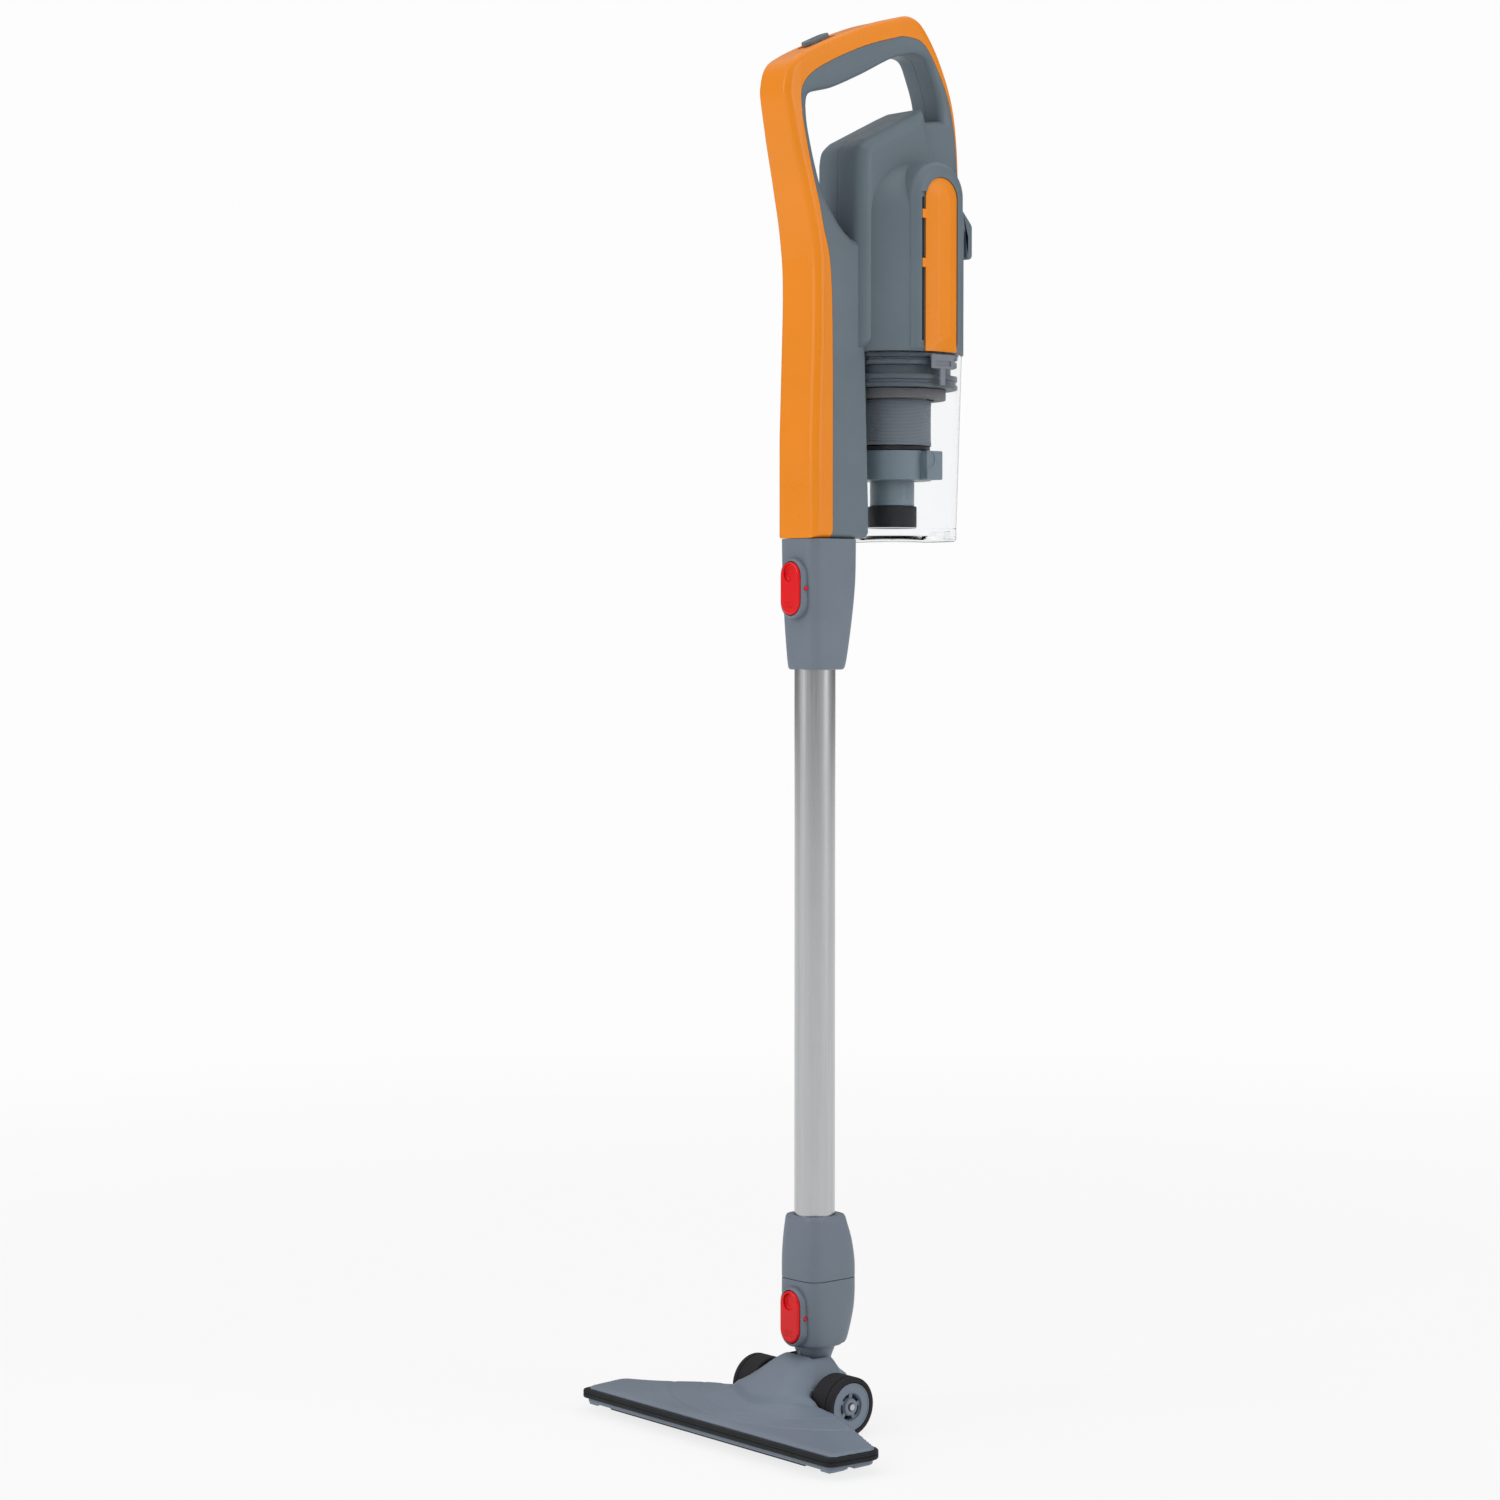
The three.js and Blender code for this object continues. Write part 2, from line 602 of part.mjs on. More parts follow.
// The skin on the front, top and back is the bright cover; this is where it stops.
function coverRegion() {
  const shape = new THREE.Shape();
  shape.moveTo(-2, 680);
  shape.splineThru(vectors([[-2, 880], [-11, 934], [-22, 979], [-30.5, 1022]]));
  shape.splineThru(vectors([[-30, 1036], [-20, 1049], [5, 1063], [40, 1077.5], [76, 1088]]));
  shape.splineThru(vectors([[96, 1086], [110, 1072], [125, 1045], [132.5, 1016], [134.5, 985]]));
  shape.lineTo(160, 985);
  shape.lineTo(160, 1130);
  shape.lineTo(-70, 1130);
  shape.lineTo(-70, 680);
  shape.closePath();
  return shape;
}

function blockOutline() {
  return polygon([
    [23, HOUSING_LOW + 1], [23, 991], [32, 1003.5], [93, 1032.5], [106, 994], [131, 950],
    [131, HOUSING_LOW + 1],
  ]);
}

// An upright slab with a round top, centred on the cup's axis in side view.
function archOutline(half, low, top) {
  const shape = new THREE.Shape();
  shape.moveTo(CUP_Y - half, low);
  shape.lineTo(CUP_Y + half, low);
  shape.absarc(CUP_Y, top - half, half, 0, Math.PI, false);
  shape.closePath();
  return shape;
}

// ---- handheld unit: solids ----
// The frame narrows from the spine to the grip.
function narrowed(solid) {
  return solid.warp((point) => {
    const grip = smooth(900, 1040, point[2]);
    point[0] *= 1 - grip * (1 - HANDLE_HALF / BODY_HALF);
  });
}

function frameSolid(inset) {
  const half = BODY_HALF - inset;
  const edge = EDGE_R - inset;
  const steps = inset > 0 ? 1 : 2;
  const slab = sideSolid(frameOutline(), -half, half, { edge, steps, inset });
  const opening = sideSolid(handOpening(), -half, half, { edge, steps, inset: -inset, flared: true });
  return narrowed(slab.subtract(opening));
}

function housingSolid(inset) {
  const profile = [[0, HOUSING_LOW - inset], [HOUSING_R - inset, HOUSING_LOW - inset]];
  for (let i = 0; i <= 5; i += 1) {
    const angle = (i * Math.PI) / 10;
    const height = (DOME_HEIGHT - inset) * Math.sin(angle);
    profile.push([(HOUSING_R - inset) * Math.cos(angle), DOME_Z + height]);
  }
  profile[profile.length - 1][0] = 0;
  return turned(profile, CUP_Y, 40);
}

function blockSolid(inset) {
  const half = BLOCK_HALF - inset;
  const edge = BLOCK_EDGE - inset;
  return sideSolid(blockOutline(), -half, half, { edge, steps: inset > 0 ? 1 : 2, inset });
}

function podSolid() {
  const outline = archOutline(POD_R, HOUSING_LOW, POD_TOP);
  return sideSolid(outline, -POD_HALF, POD_HALF, { edge: POD_EDGE, steps: 3, curve: 10 });
}

function cupSeat() {
  return post(CUP_LOW_R + 0.6, 0, CUP_Y, BODY_LOW - 1, HOUSING_LOW, 40, CUP_TOP_R + 0.6);
}

// Everything that is hollow inside the two grey halves and the cover.
function hollow() {
  const spineOnly = cut(frameSolid(SHELL_WALL), box(-60, 60, 32, 70, 600, HOUSING_LOW));
  const chin = box(-BODY_HALF + 3, BODY_HALF - 3, -18, 27, 760, 850);
  const drop = cut(spineOnly, post(CUP_LOW_R + 3, 0, CUP_Y, 600, HOUSING_LOW, 40, CUP_TOP_R + 3), chin);
  return joined(drop, chin.intersect(spineOnly), housingSolid(SHELL_WALL), blockSolid(SHELL_WALL));
}

function panelPocket(side) {
  const seat = PANEL_SEAT - 0.4;
  const pocket = joined(
    sideSolid(archOutline(PANEL_HALF + GAP, HOUSING_LOW - 5, PANEL_TOP + GAP), seat, 70, { curve: 10 }),
    box(seat, 70, CUP_Y - PANEL_HALF - 4.6, CUP_Y, VENT_LOW - 4, VENT_TOP + 4),
  );
  const vent = box(40, 70, CUP_Y - PANEL_HALF - 3.6, CUP_Y - PANEL_HALF - 0.6, VENT_LOW, VENT_TOP);
  return mirrored(joined(pocket, vent), side);
}

function switchSlot() {
  const slot = new THREE.Shape();
  slot.absarc(-12, 0, 4, Math.PI / 2, 1.5 * Math.PI, false);
  slot.absarc(12, 0, 4, -Math.PI / 2, Math.PI / 2, false);
  slot.closePath();
  return onGrip(planSolid(slot, -16, 30).rotate([0, 0, 90]));
}

// Moves a solid drawn flat at the origin onto the sloping top of the grip.
function onGrip(solid) {
  return solid.rotate([GRIP_SLOPE, 0, 0]).translate([0, SWITCH_Y, SWITCH_Z]);
}

function bodyParts() {
  const frame = frameSolid(0);
  const region = sideSolid(coverRegion(), -60, 60);
  const regionWithGap = sideSolid(coverRegion(), -60, 60, { inset: -GAP });
  const inside = hollow();
  const ductReach = DUCT_HALF + 0.7;
  const ductWay = box(-ductReach, ductReach, -ductReach, ductReach, BODY_LOW - 5, BODY_LOW + 10);
  const cover = cut(frame.intersect(region), inside, switchSlot(), ductWay);
  const seats = joined(cupSeat(), ...SIDES.map(([, side]) => panelPocket(side)));
  const grey = joined(cut(frame, regionWithGap), blockSolid(0), housingSolid(0), podSolid());
  const mouths = joined(
    ductWay,
    box(-DUCT_HALF - GAP, DUCT_HALF + GAP, 20, 40, BRANCH_LOW - 1, DUCT_TOP + 1),
    post(40, 0, CUP_Y, HOUSING_LOW - 5, HOUSING_LOW + 5, 40),
    rod(6, -6, 6, 0, 0, 20).rotate([0, 0, 90]).translate([0, HOUSING_BACK, GLAND_Z]),
  );
  const shell = cut(grey, seats, inside, mouths);
  const halves = SIDES.map(([name, side]) => {
    const keep = side > 0 ? box(GAP / 2, 80, -80, 200, 600, 1200) : box(-80, -GAP / 2, -80, 200, 600, 1200);
    return [name, shell.intersect(keep)];
  });
  return { cover, halves };
}

function addBody() {
  const { cover, halves } = bodyParts();
  add('front_cover', cover, ORANGE, 0.3);
  halves.forEach(([name, solid]) => add(`body_shell_${name}`, solid, GREY));
  for (const [name, side] of SIDES) {
    add(`side_panel_${name}`, mirrored(sidePanel(), side), ORANGE, 0.3);
    add(`exhaust_grille_${name}`, mirrored(exhaustGrille(), side), RUBBER, 0.8);
  }
}

// A bevelled strip with a round top, and two tabs that bridge the exhaust slot beside it.
function sidePanel() {
  const outline = archOutline(PANEL_HALF, HOUSING_LOW, PANEL_TOP);
  const bevelled = sideSolid(outline, PANEL_SEAT - 9, PANEL_FACE, { edge: 3.4, steps: 1, curve: 10 });
  const strip = cut(bevelled, box(0, PANEL_SEAT, 0, 200, 800, 1000));
  const full = sideSolid(outline, PANEL_SEAT, PANEL_SEAT + 1.5, { curve: 10 });
  const edge = CUP_Y - PANEL_HALF;
  const tab = box(PANEL_SEAT + 0.2, PANEL_SEAT + 1.5, edge - 4, edge + 1, -3.5, 3.5);
  const tabs = TAB_CENTRES.map((z) => tab.translate([0, 0, z]));
  return joined(strip, full, ...tabs);
}

function exhaustGrille() {
  const front = CUP_Y - PANEL_HALF - 3.3;
  return box(47, 48.6, front, front + 2.4, VENT_LOW + 1, VENT_TOP - 1);
}

// ---- power switch on the grip ----
function addSwitch() {
  const slider = new THREE.Shape();
  slider.absarc(-SLIDER_REACH, 0, SLIDER_R, Math.PI / 2, 1.5 * Math.PI, false);
  slider.absarc(SLIDER_REACH, 0, SLIDER_R, -Math.PI / 2, Math.PI / 2, false);
  slider.closePath();
  const ribs = [-6, -3, 0, 3, 6].map((x) => box(x - 0.6, x + 0.6, -4, 4, 2.6, 4));
  const top = cut(planSolid(slider, 0.9, 3.4), ...ribs);
  const stem = box(-8, 4, -2.6, 2.6, -7, 1);
  add('power_slider', onGrip(joined(top, stem).rotate([0, 0, 90]).translate([0, -4, 0])), GREY);
  add('switch_body', onGrip(box(-9, 9, -17, 17, -19, -8)), RUBBER, 0.6);
}

// ---- back of the housing ----
function addHook() {
  const outline = polygon([
    [HOUSING_BACK + 3, 944], [HOUSING_BACK + 3, 961], [145, 958], [156, 946], [156, 921], [154, 919],
    [151, 919], [149.6, 921], [149.6, 938], [146.4, 942], [144, 944],
  ]);
  add('cord_hook', sideSolid(outline, -HOOK_HALF, HOOK_HALF), GREY);
  const gland = turned([
    [3.3, -7], [8, -7], [8, -4.6], [5.7, -4.6], [5.7, 2.2], [8.4, 2.2], [8.4, 5], [5.6, 8], [3.3, 8],
  ], 0, 16).rotate([-90, 0, 0]).translate([0, HOUSING_BACK + 1, GLAND_Z]);
  add('cord_gland', gland, RUBBER, 0.85);
}

// ---- motor and fan ----
function addMotor() {
  const motor = joined(
    post(MOTOR_R, 0, CUP_Y, MOTOR_LOW, MOTOR_TOP, 20),
    post(22, 0, CUP_Y, MOTOR_TOP, MOTOR_TOP + 14, 16),
    post(16, 0, CUP_Y, MOTOR_LOW - 6, MOTOR_LOW, 16),
  );
  add('motor', cut(motor, post(SHAFT_R + 0.9, 0, CUP_Y, 870, 950, 12)), STEEL, 0.4, 1);
  const mount = cut(post(45, 0, CUP_Y, 900, 914, 20), post(MOTOR_R + 3 * GAP, 0, CUP_Y, 890, 920, 20));
  add('motor_mount_ring', mount, RUBBER, 0.9);
  const plate = cut(post(50, 0, CUP_Y, 852, 855, 24), post(12, 0, CUP_Y, 850, 860, 16));
  add('fan_shroud', plate, DARK_GREY);
  const blades = [];
  for (let i = 0; i < FAN_BLADES; i += 1) {
    const turn = [0, 0, (i * 360) / FAN_BLADES];
    blades.push(box(12, FAN_R - 2, -1, 1, 858.6, 867).rotate(turn).translate([0, CUP_Y, 0]));
  }
  const fan = joined(
    post(FAN_R, 0, CUP_Y, 866, 868.4, 20),
    post(13, 0, CUP_Y, 858.6, 872, 16),
    post(SHAFT_R, 0, CUP_Y, 855, 952, 10),
    ...blades,
  );
  add('fan', fan, STEEL, 0.35, 1);
}

// ---- dust cup ----
function cupRadius(z) {
  return THREE.MathUtils.lerp(CUP_LOW_R, CUP_TOP_R, (z - CUP_LOW) / (HOUSING_LOW - CUP_LOW));
}

function addCup() {
  const low = CUP_LOW;
  const top = HOUSING_LOW - GAP;
  const wall = turned([
    [cupRadius(low) - CUP_WALL, low],
    [cupRadius(low), low],
    [cupRadius(top), top],
    [cupRadius(top) - CUP_WALL, top],
  ], CUP_Y, 32);
  const inlet = box(-DUCT_BORE - 0.4, DUCT_BORE + 0.4, 20, 50, BRANCH_LOW + 1, DUCT_TOP - 1);
  const knuckle = joined(
    rod(HINGE_R, 6, 12, HINGE_Y, HINGE_Z, 12),
    box(6, 12, 130, HINGE_Y, HINGE_Z - 1, HINGE_Z + HINGE_R),
    box(6, 12, 130, 134, HINGE_Z, HINGE_Z + 11),
  );
  const lidSpace = joined(
    post(cupRadius(low) - CUP_WALL, 0, CUP_Y, 690, 720, 40),
    post(53, 0, CUP_Y, 680, low - GAP, 40),
  );
  const pinWay = rod(HINGE_PIN_R + 0.1, -20, 20, HINGE_Y, HINGE_Z, 12);
  const lugs = cut(joined(knuckle, mirrored(knuckle, -1)), pinWay, lidSpace);
  add('cup_wall', cut(joined(wall, lugs), inlet), CLEAR, 0.1, 0, { transparent: true, opacity: 0.3 });
  addLid();
  addFilter();
}

function addLid() {
  const radius = cupRadius(CUP_LOW);
  const dish = turned([
    [0, 692.4], [30, 691.4], [radius - 1, 692], [radius, 694], [radius, CUP_LOW - GAP],
    [radius - 2, CUP_LOW - GAP], [radius - 2.4, 695.4], [28, 694], [0, 696],
  ], CUP_Y, 32);
  const hinge = joined(
    rod(HINGE_R, -5.7, 5.7, HINGE_Y, HINGE_Z, 12),
    box(-5.7, 5.7, 131.5, HINGE_Y, HINGE_Z - 2, HINGE_Z + 2),
  );
  const pin = rod(HINGE_PIN_R, -11.8, 11.8, HINGE_Y, HINGE_Z, 12);
  const tongue = box(-5, 5, 31.3, 33, 692.4, 700);
  add('cup_lid', joined(dish, hinge, pin, tongue), CLEAR, 0.1, 0, { transparent: true, opacity: 0.3 });
}

function ring(outer, inner, low, high, sides = 24) {
  return turned([[inner, low], [outer, low], [outer, high], [inner, high]], CUP_Y, sides);
}

function addFilter() {
  const rim = cupRadius(812) - CUP_WALL - GAP;
  const collar = turned([
    [42, 811.6], [rim, 811.6], [rim, 815], [rim - 1.6, 816], [rim - 1.6, 821], [rim - 0.4, 822],
    [rim - 0.4, 826], [rim - 2.4, 827], [rim - 2.4, 830], [rim, 831], [rim, 838.2], [42, 838.2],
  ], CUP_Y, 28);
  add('filter_collar', collar, DARK_GREY);
  add('filter_seal', ring(SEAL_R, 33, FILTER_TOP + GAP, 811.3), RUBBER, 0.85);
  add('filter_mesh', ring(MESH_R, MESH_R - 1.8, MESH_LOW, FILTER_TOP, 24), FILTER, 0.8);
  add('filter_pleats', ring(MESH_R - 4, 12, 770, 811, 20), PAPER, 0.95);
  const cyclone = joined(
    turned([
      [14, OUTLET_LOW], [OUTLET_R, OUTLET_LOW], [OUTLET_R, GUIDE_LOW], [MESH_R, GUIDE_LOW],
      [MESH_R, GUIDE_TOP], [16, GUIDE_TOP], [16, GUIDE_TOP - 3], [28.4, GUIDE_TOP - 3],
      [28.4, GUIDE_LOW + 3], [14, GUIDE_LOW + 3],
    ], CUP_Y, 24),
    cut(
      box(20, BOSS_FACE, CUP_Y + 2, CUP_Y + 19, GUIDE_LOW, GUIDE_TOP),
      post(MESH_R - 1, 0, CUP_Y, 700, 800, 24),
    ),
  );
  add('cyclone_guide', cyclone, GREY);
  add('filter_seam_ring', ring(MESH_R - 1, 24, GUIDE_TOP + GAP, MESH_LOW - GAP, 24), RUBBER, 0.85);
  const bootSpace = post(15, 0, CUP_Y, CUP_LOW + 2, OUTLET_LOW + 10, 20);
  add('filter_boot', cut(post(BOOT_R, 0, CUP_Y, CUP_LOW, OUTLET_LOW - GAP, 24), bootSpace), RUBBER, 0.85);
}

// ---- side clips that hold the cup ----
function addClips() {
  const front = CUP_Y - CLIP_HALF;
  const plate = box(CLIP_IN, CLIP_OUT, front, CUP_Y + CLIP_HALF, CLIP_LOW, CLIP_TOP);
  const middle = (CLIP_IN + CLIP_OUT) / 2;
  const bead = rod(1.5, 0, 2 * CLIP_HALF, 0, 0, 10)
    .rotate([0, 0, 90])
    .translate([middle, front, CLIP_TOP - 1.6]);
  for (const [name, side] of SIDES) {
    add(`cup_clip_${name}`, mirrored(joined(plate, bead), side), DARK_GREY);
  }
}

// ---- air duct and electronics inside the spine ----
function addInside() {
  const trunk = box(-DUCT_HALF, DUCT_HALF, -DUCT_HALF, DUCT_HALF, BODY_LOW, DUCT_TOP);
  const branch = box(-DUCT_HALF, DUCT_HALF, DUCT_HALF - 1, 29, BRANCH_LOW, DUCT_TOP);
  const trunkBore = box(-DUCT_BORE, DUCT_BORE, -DUCT_BORE, DUCT_BORE, BODY_LOW - 1, DUCT_TOP - 2);
  const branchBore = box(-DUCT_BORE, DUCT_BORE, 0, 40, BRANCH_LOW + 2, DUCT_TOP - 2);
  add('inlet_duct', cut(joined(trunk, branch), trunkBore, branchBore), DARK_GREY);
  add('control_board', box(-12, 12, 2, 3.6, 800, 870), CIRCUIT, 0.7);
}

addFloorHead();
addWheels();
addNeck();
addSockets();
addWand();
addBody();
addSwitch();
addHook();
addMotor();
addCup();
addClips();
addInside();

const vacuum = new THREE.Group();
vacuum.add(model);
export default vacuum;
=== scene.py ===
"""Looks of the upright stick vacuum cleaner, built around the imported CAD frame.

Shapes are drawn in millimetres with y measured from the wand's axis, then moved to the frame in metres.
"""
import json
import math

import bmesh
import bpy
import numpy as np
from mathutils import Matrix, Vector

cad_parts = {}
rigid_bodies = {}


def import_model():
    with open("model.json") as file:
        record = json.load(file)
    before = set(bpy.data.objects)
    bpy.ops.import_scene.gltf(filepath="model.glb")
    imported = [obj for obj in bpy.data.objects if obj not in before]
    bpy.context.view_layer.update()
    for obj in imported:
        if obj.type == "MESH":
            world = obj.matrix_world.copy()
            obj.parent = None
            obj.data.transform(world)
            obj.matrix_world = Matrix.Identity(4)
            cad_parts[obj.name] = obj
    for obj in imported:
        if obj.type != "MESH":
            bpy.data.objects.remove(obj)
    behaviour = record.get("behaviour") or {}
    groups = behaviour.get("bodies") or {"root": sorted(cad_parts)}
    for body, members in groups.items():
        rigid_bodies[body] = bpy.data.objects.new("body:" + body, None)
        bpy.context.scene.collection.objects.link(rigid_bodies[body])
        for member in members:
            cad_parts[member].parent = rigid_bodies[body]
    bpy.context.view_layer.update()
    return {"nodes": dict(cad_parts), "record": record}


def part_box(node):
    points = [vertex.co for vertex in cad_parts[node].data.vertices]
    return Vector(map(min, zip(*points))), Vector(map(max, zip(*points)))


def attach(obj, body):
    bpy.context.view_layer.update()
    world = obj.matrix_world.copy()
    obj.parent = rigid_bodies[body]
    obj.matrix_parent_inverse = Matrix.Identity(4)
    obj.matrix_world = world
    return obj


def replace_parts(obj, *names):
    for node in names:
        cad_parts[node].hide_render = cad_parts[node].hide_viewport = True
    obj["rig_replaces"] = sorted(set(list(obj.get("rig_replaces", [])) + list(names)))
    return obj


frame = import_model()
nodes = frame["nodes"]

MM = 0.001
GAP = 0.3
SIDES = (("left", 1), ("right", -1))


def low(node):
    """Lowest corner of a CAD node in millimetres, y from the wand's axis."""
    return (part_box(node)[0] - Vector((0, WAND_Y, 0))) / MM


def high(node):
    return (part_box(node)[1] - Vector((0, WAND_Y, 0))) / MM


WAND_Y = sum(corner.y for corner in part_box("wand_tube")) / 2
WAND_R = (high("wand_tube").x - low("wand_tube").x) / 2
CUP_Y = (low("filter_mesh").y + high("filter_mesh").y) / 2
BODY_LOW = low("front_cover").z
BODY_HALF = high("front_cover").x
HOUSING_LOW = low("side_panel_left").z
HOUSING_R = high("body_shell_left").y - CUP_Y
PANEL_TOP = high("side_panel_left").z
HANDLE_HALF = 17.8
SHELL_WALL = 2.4
EDGE_R = 7
DOME_Z = 945
DOME_HEIGHT = 49
BLOCK_HALF = 28
BLOCK_EDGE = 11
PANEL_HALF = 16.6


# ---- outlines ----
def smooth(start, end, value):
    t = np.clip((value - start) / (end - start), 0, 1)
    return t * t * (3 - 2 * t)


def curve(points, per):
    """A smooth curve through the points, as a list without its start."""
    out = []
    for i in range(len(points) - 1):
        a, b, c = points[max(i - 1, 0)], points[i], points[i + 1]
        d = points[min(i + 2, len(points) - 1)]
        v0, v1 = (c - a) / 2, (d - b) / 2
        cubic, square = 2 * b - 2 * c + v0 + v1, -3 * b + 3 * c - 2 * v0 - v1
        out += [cubic * t**3 + square * t**2 + v0 * t + b for t in (k / per for k in range(1, per + 1))]
    return out


def spline(start, points, per=6):
    return [tuple(q) for q in curve([Vector(p) for p in [start] + points], per)]


def frame_outline():
    """The spine, the grip above it and the rear leg of the handle, in side view."""
    line = [(-20.7, BODY_LOW), (-20.7, 770)]
    line += spline(line[-1], [(-17.4, 880), (-20.5, 924), (-29, 963), (-37.5, 997), (-43.6, 1026)])
    line += spline(line[-1], [(-44.6, 1038), (-40, 1054), (-27, 1064), (5, 1079), (44, 1094), (70, 1101.5)])
    line += spline(line[-1], [(86, 1105), (101, 1098), (119, 1073), (133, 1040), (138, 1005), (138, 960)])
    return line + [(138, 895), (60, 895), (60, 846), (40, 846), (40, BODY_LOW)]


def hand_opening():
    line = [(31, 925), (21, 925)]
    line += spline(line[-1], [(8, 936), (-7, 957), (-15, 980), (-21.5, 1008), (-23, 1024)])
    line += spline(line[-1], [(-19, 1034), (5, 1041), (36, 1054.5), (68, 1070), (90, 1076)])
    line += spline(line[-1], [(102, 1073), (110, 1058), (116, 1042), (118.5, 1026)])
    return line + [(89, 1022), (31, 992)]


def cover_region():
    """Where the orange cover is, in side view."""
    line = [(-2, 680)]
    line += spline(line[-1], [(-2, 880), (-11, 934), (-22, 979), (-30.5, 1022)])
    line += spline(line[-1], [(-30, 1036), (-20, 1049), (5, 1063), (40, 1077.5), (76, 1088)])
    line += spline(line[-1], [(96, 1086), (110, 1072), (125, 1045), (132.5, 1016), (134.5, 985)])
    return line + [(160, 985), (160, 1130), (-70, 1130), (-70, 680)]


def block_outline():
    top = [(23, 986)] + spline((23, 986), [(25.5, 997), (33, 1004)], 4)
    top += [(80, 1026.6), (93, 1032.4), (106, 994), (131, 950)]
    return [(23, HOUSING_LOW + 1)] + top + [(131, HOUSING_LOW + 1)]


def arc(cx, cy, radius, start, end, steps):
    angles = [math.radians(start + (end - start) * i / steps) for i in range(steps + 1)]
    return [(cx + radius * math.cos(a), cy + radius * math.sin(a)) for a in angles]


def arch_outline(half, bottom, top, steps=28):
    return [(CUP_Y - half, bottom), (CUP_Y + half, bottom)] + arc(CUP_Y, top - half, half, 0, 180, steps)


def stadium(cy, half, tall):
    straight = tall / 2 - half
    return arc(0, cy + straight, half, 0, 180, 20) + arc(0, cy - straight, half, 180, 360, 20)


def offset(line, amount):
    """The closed outline moved inwards by amount, or outwards where it is negative."""
    pts = np.array(line, float)
    area = np.sum(pts[:, 0] * np.roll(pts[:, 1], -1) - np.roll(pts[:, 0], -1) * pts[:, 1])
    ahead = np.roll(pts, -1, 0) - pts
    ahead /= np.linalg.norm(ahead, axis=1)[:, None]
    normal = np.stack([-ahead[:, 1], ahead[:, 0]], 1) * (1 if area > 0 else -1)
    before = np.roll(normal, 1, 0)
    mid = normal + before
    mid /= np.maximum(np.sum(mid * normal, 1), 0.2)[:, None]
    return pts + mid * amount


# ---- meshes ----
MERGE = 1e-3
FLAT_ANGLE = math.radians(0.4)
SHARP_ANGLE = math.radians(34)
PLACES = {
    "x": lambda u, v, w: (w, u, v),
    "y": lambda u, v, w: (u, w, v),
    "z": lambda u, v, w: (u, v, w),
}


def to_object(bm, name="part"):
    bmesh.ops.remove_doubles(bm, verts=bm.verts, dist=1e-4)
    bmesh.ops.recalc_face_normals(bm, faces=bm.faces)
    mesh = bpy.data.meshes.new(name)
    bm.to_mesh(mesh)
    bm.free()
    obj = bpy.data.objects.new(name, mesh)
    bpy.context.scene.collection.objects.link(obj)
    return obj


def from_rings(rings, closed=False):
    """A closed mesh through rings of equally many points."""
    bm = bmesh.new()
    loops = [[bm.verts.new(p) for p in ring] for ring in rings]
    count = len(loops[0])
    pairs = list(zip(loops, loops[1:] + loops[:1] if closed else loops[1:]))
    for a, b in pairs:
        for i in range(count):
            j = (i + 1) % count
            bm.faces.new((a[i], a[j], b[j], b[i]))
    if not closed:
        ends = [bm.faces.new(loops[0]), bm.faces.new(loops[-1])]
        bmesh.ops.triangulate(bm, faces=ends)
    return to_object(bm)


def prism(line, start, end, axis="x", edge=0.0, inset=0.0, steps=8, flared=False, edges=(True, True)):
    """An outline given its depth, with rims rounded by edge, or flared outwards by it."""
    place = PLACES[axis]
    sign = -1 if flared else 1
    turn = [math.radians(90 * k / steps) for k in range(steps + 1)] if edge else [math.pi / 2]
    rise = [(edge * (1 - math.cos(t)), edge * (1 - math.sin(t))) for t in turn]
    levels = [(start + up, shrink) for up, shrink in rise] if edges[0] else [(start, 0)]
    levels += [(end - up, shrink) for up, shrink in reversed(rise)] if edges[1] else [(end, 0)]
    rings = [[place(u, v, w) for u, v in offset(line, inset + sign * shrink)] for w, shrink in levels]
    return from_rings(rings)


def lathe(profile, centre=(0, 0), sides=96, axis="z"):
    """A profile of (radius, height) turned about an axis, as a ring, or a solid if it meets the axis."""
    place = PLACES[axis]
    bm = bmesh.new()
    loops = []
    for i in range(sides):
        a = 2 * math.pi * i / sides
        ring = [place(centre[0] + r * math.cos(a), centre[1] + r * math.sin(a), h) for r, h in profile]
        loops.append([bm.verts.new(p) for p in ring])
    for a, b in zip(loops, loops[1:] + loops[:1]):
        for k in range(len(profile)):
            m = (k + 1) % len(profile)
            if profile[k][0] == 0 and profile[m][0] == 0:
                continue
            corners = [a[k], a[m], b[m], b[k]]
            if profile[k][0] == 0:
                corners = [a[k], a[m], b[m]]
            elif profile[m][0] == 0:
                corners = [a[k], a[m], b[k]]
            bm.faces.new(corners)
    return to_object(bm)


def rounded(profile, radius=0.6, steps=3):
    """A closed polygon with its corners rounded by short arcs."""
    out = []
    count = len(profile)
    for i, corner in enumerate(profile):
        p, a, b = (Vector(q) for q in (corner, profile[i - 1], profile[(i + 1) % count]))
        if p.x == 0:
            out.append(tuple(p))
            continue
        reach = min(radius, (a - p).length * 0.45, (b - p).length * 0.45)
        start, end = p + (a - p).normalized() * reach, p + (b - p).normalized() * reach
        for k in range(steps + 1):
            t = k / steps
            out.append(tuple(start * (1 - t) ** 2 + p * 2 * t * (1 - t) + end * t * t))
    return out


def block(x0, x1, y0, y1, z0, z1):
    bm = bmesh.new()
    bmesh.ops.create_cube(bm, size=1)
    for v in bm.verts:
        v.co = Vector(((x0 + x1) / 2 + v.co.x * (x1 - x0), (y0 + y1) / 2 + v.co.y * (y1 - y0),
                       (z0 + z1) / 2 + v.co.z * (z1 - z0)))
    return to_object(bm)


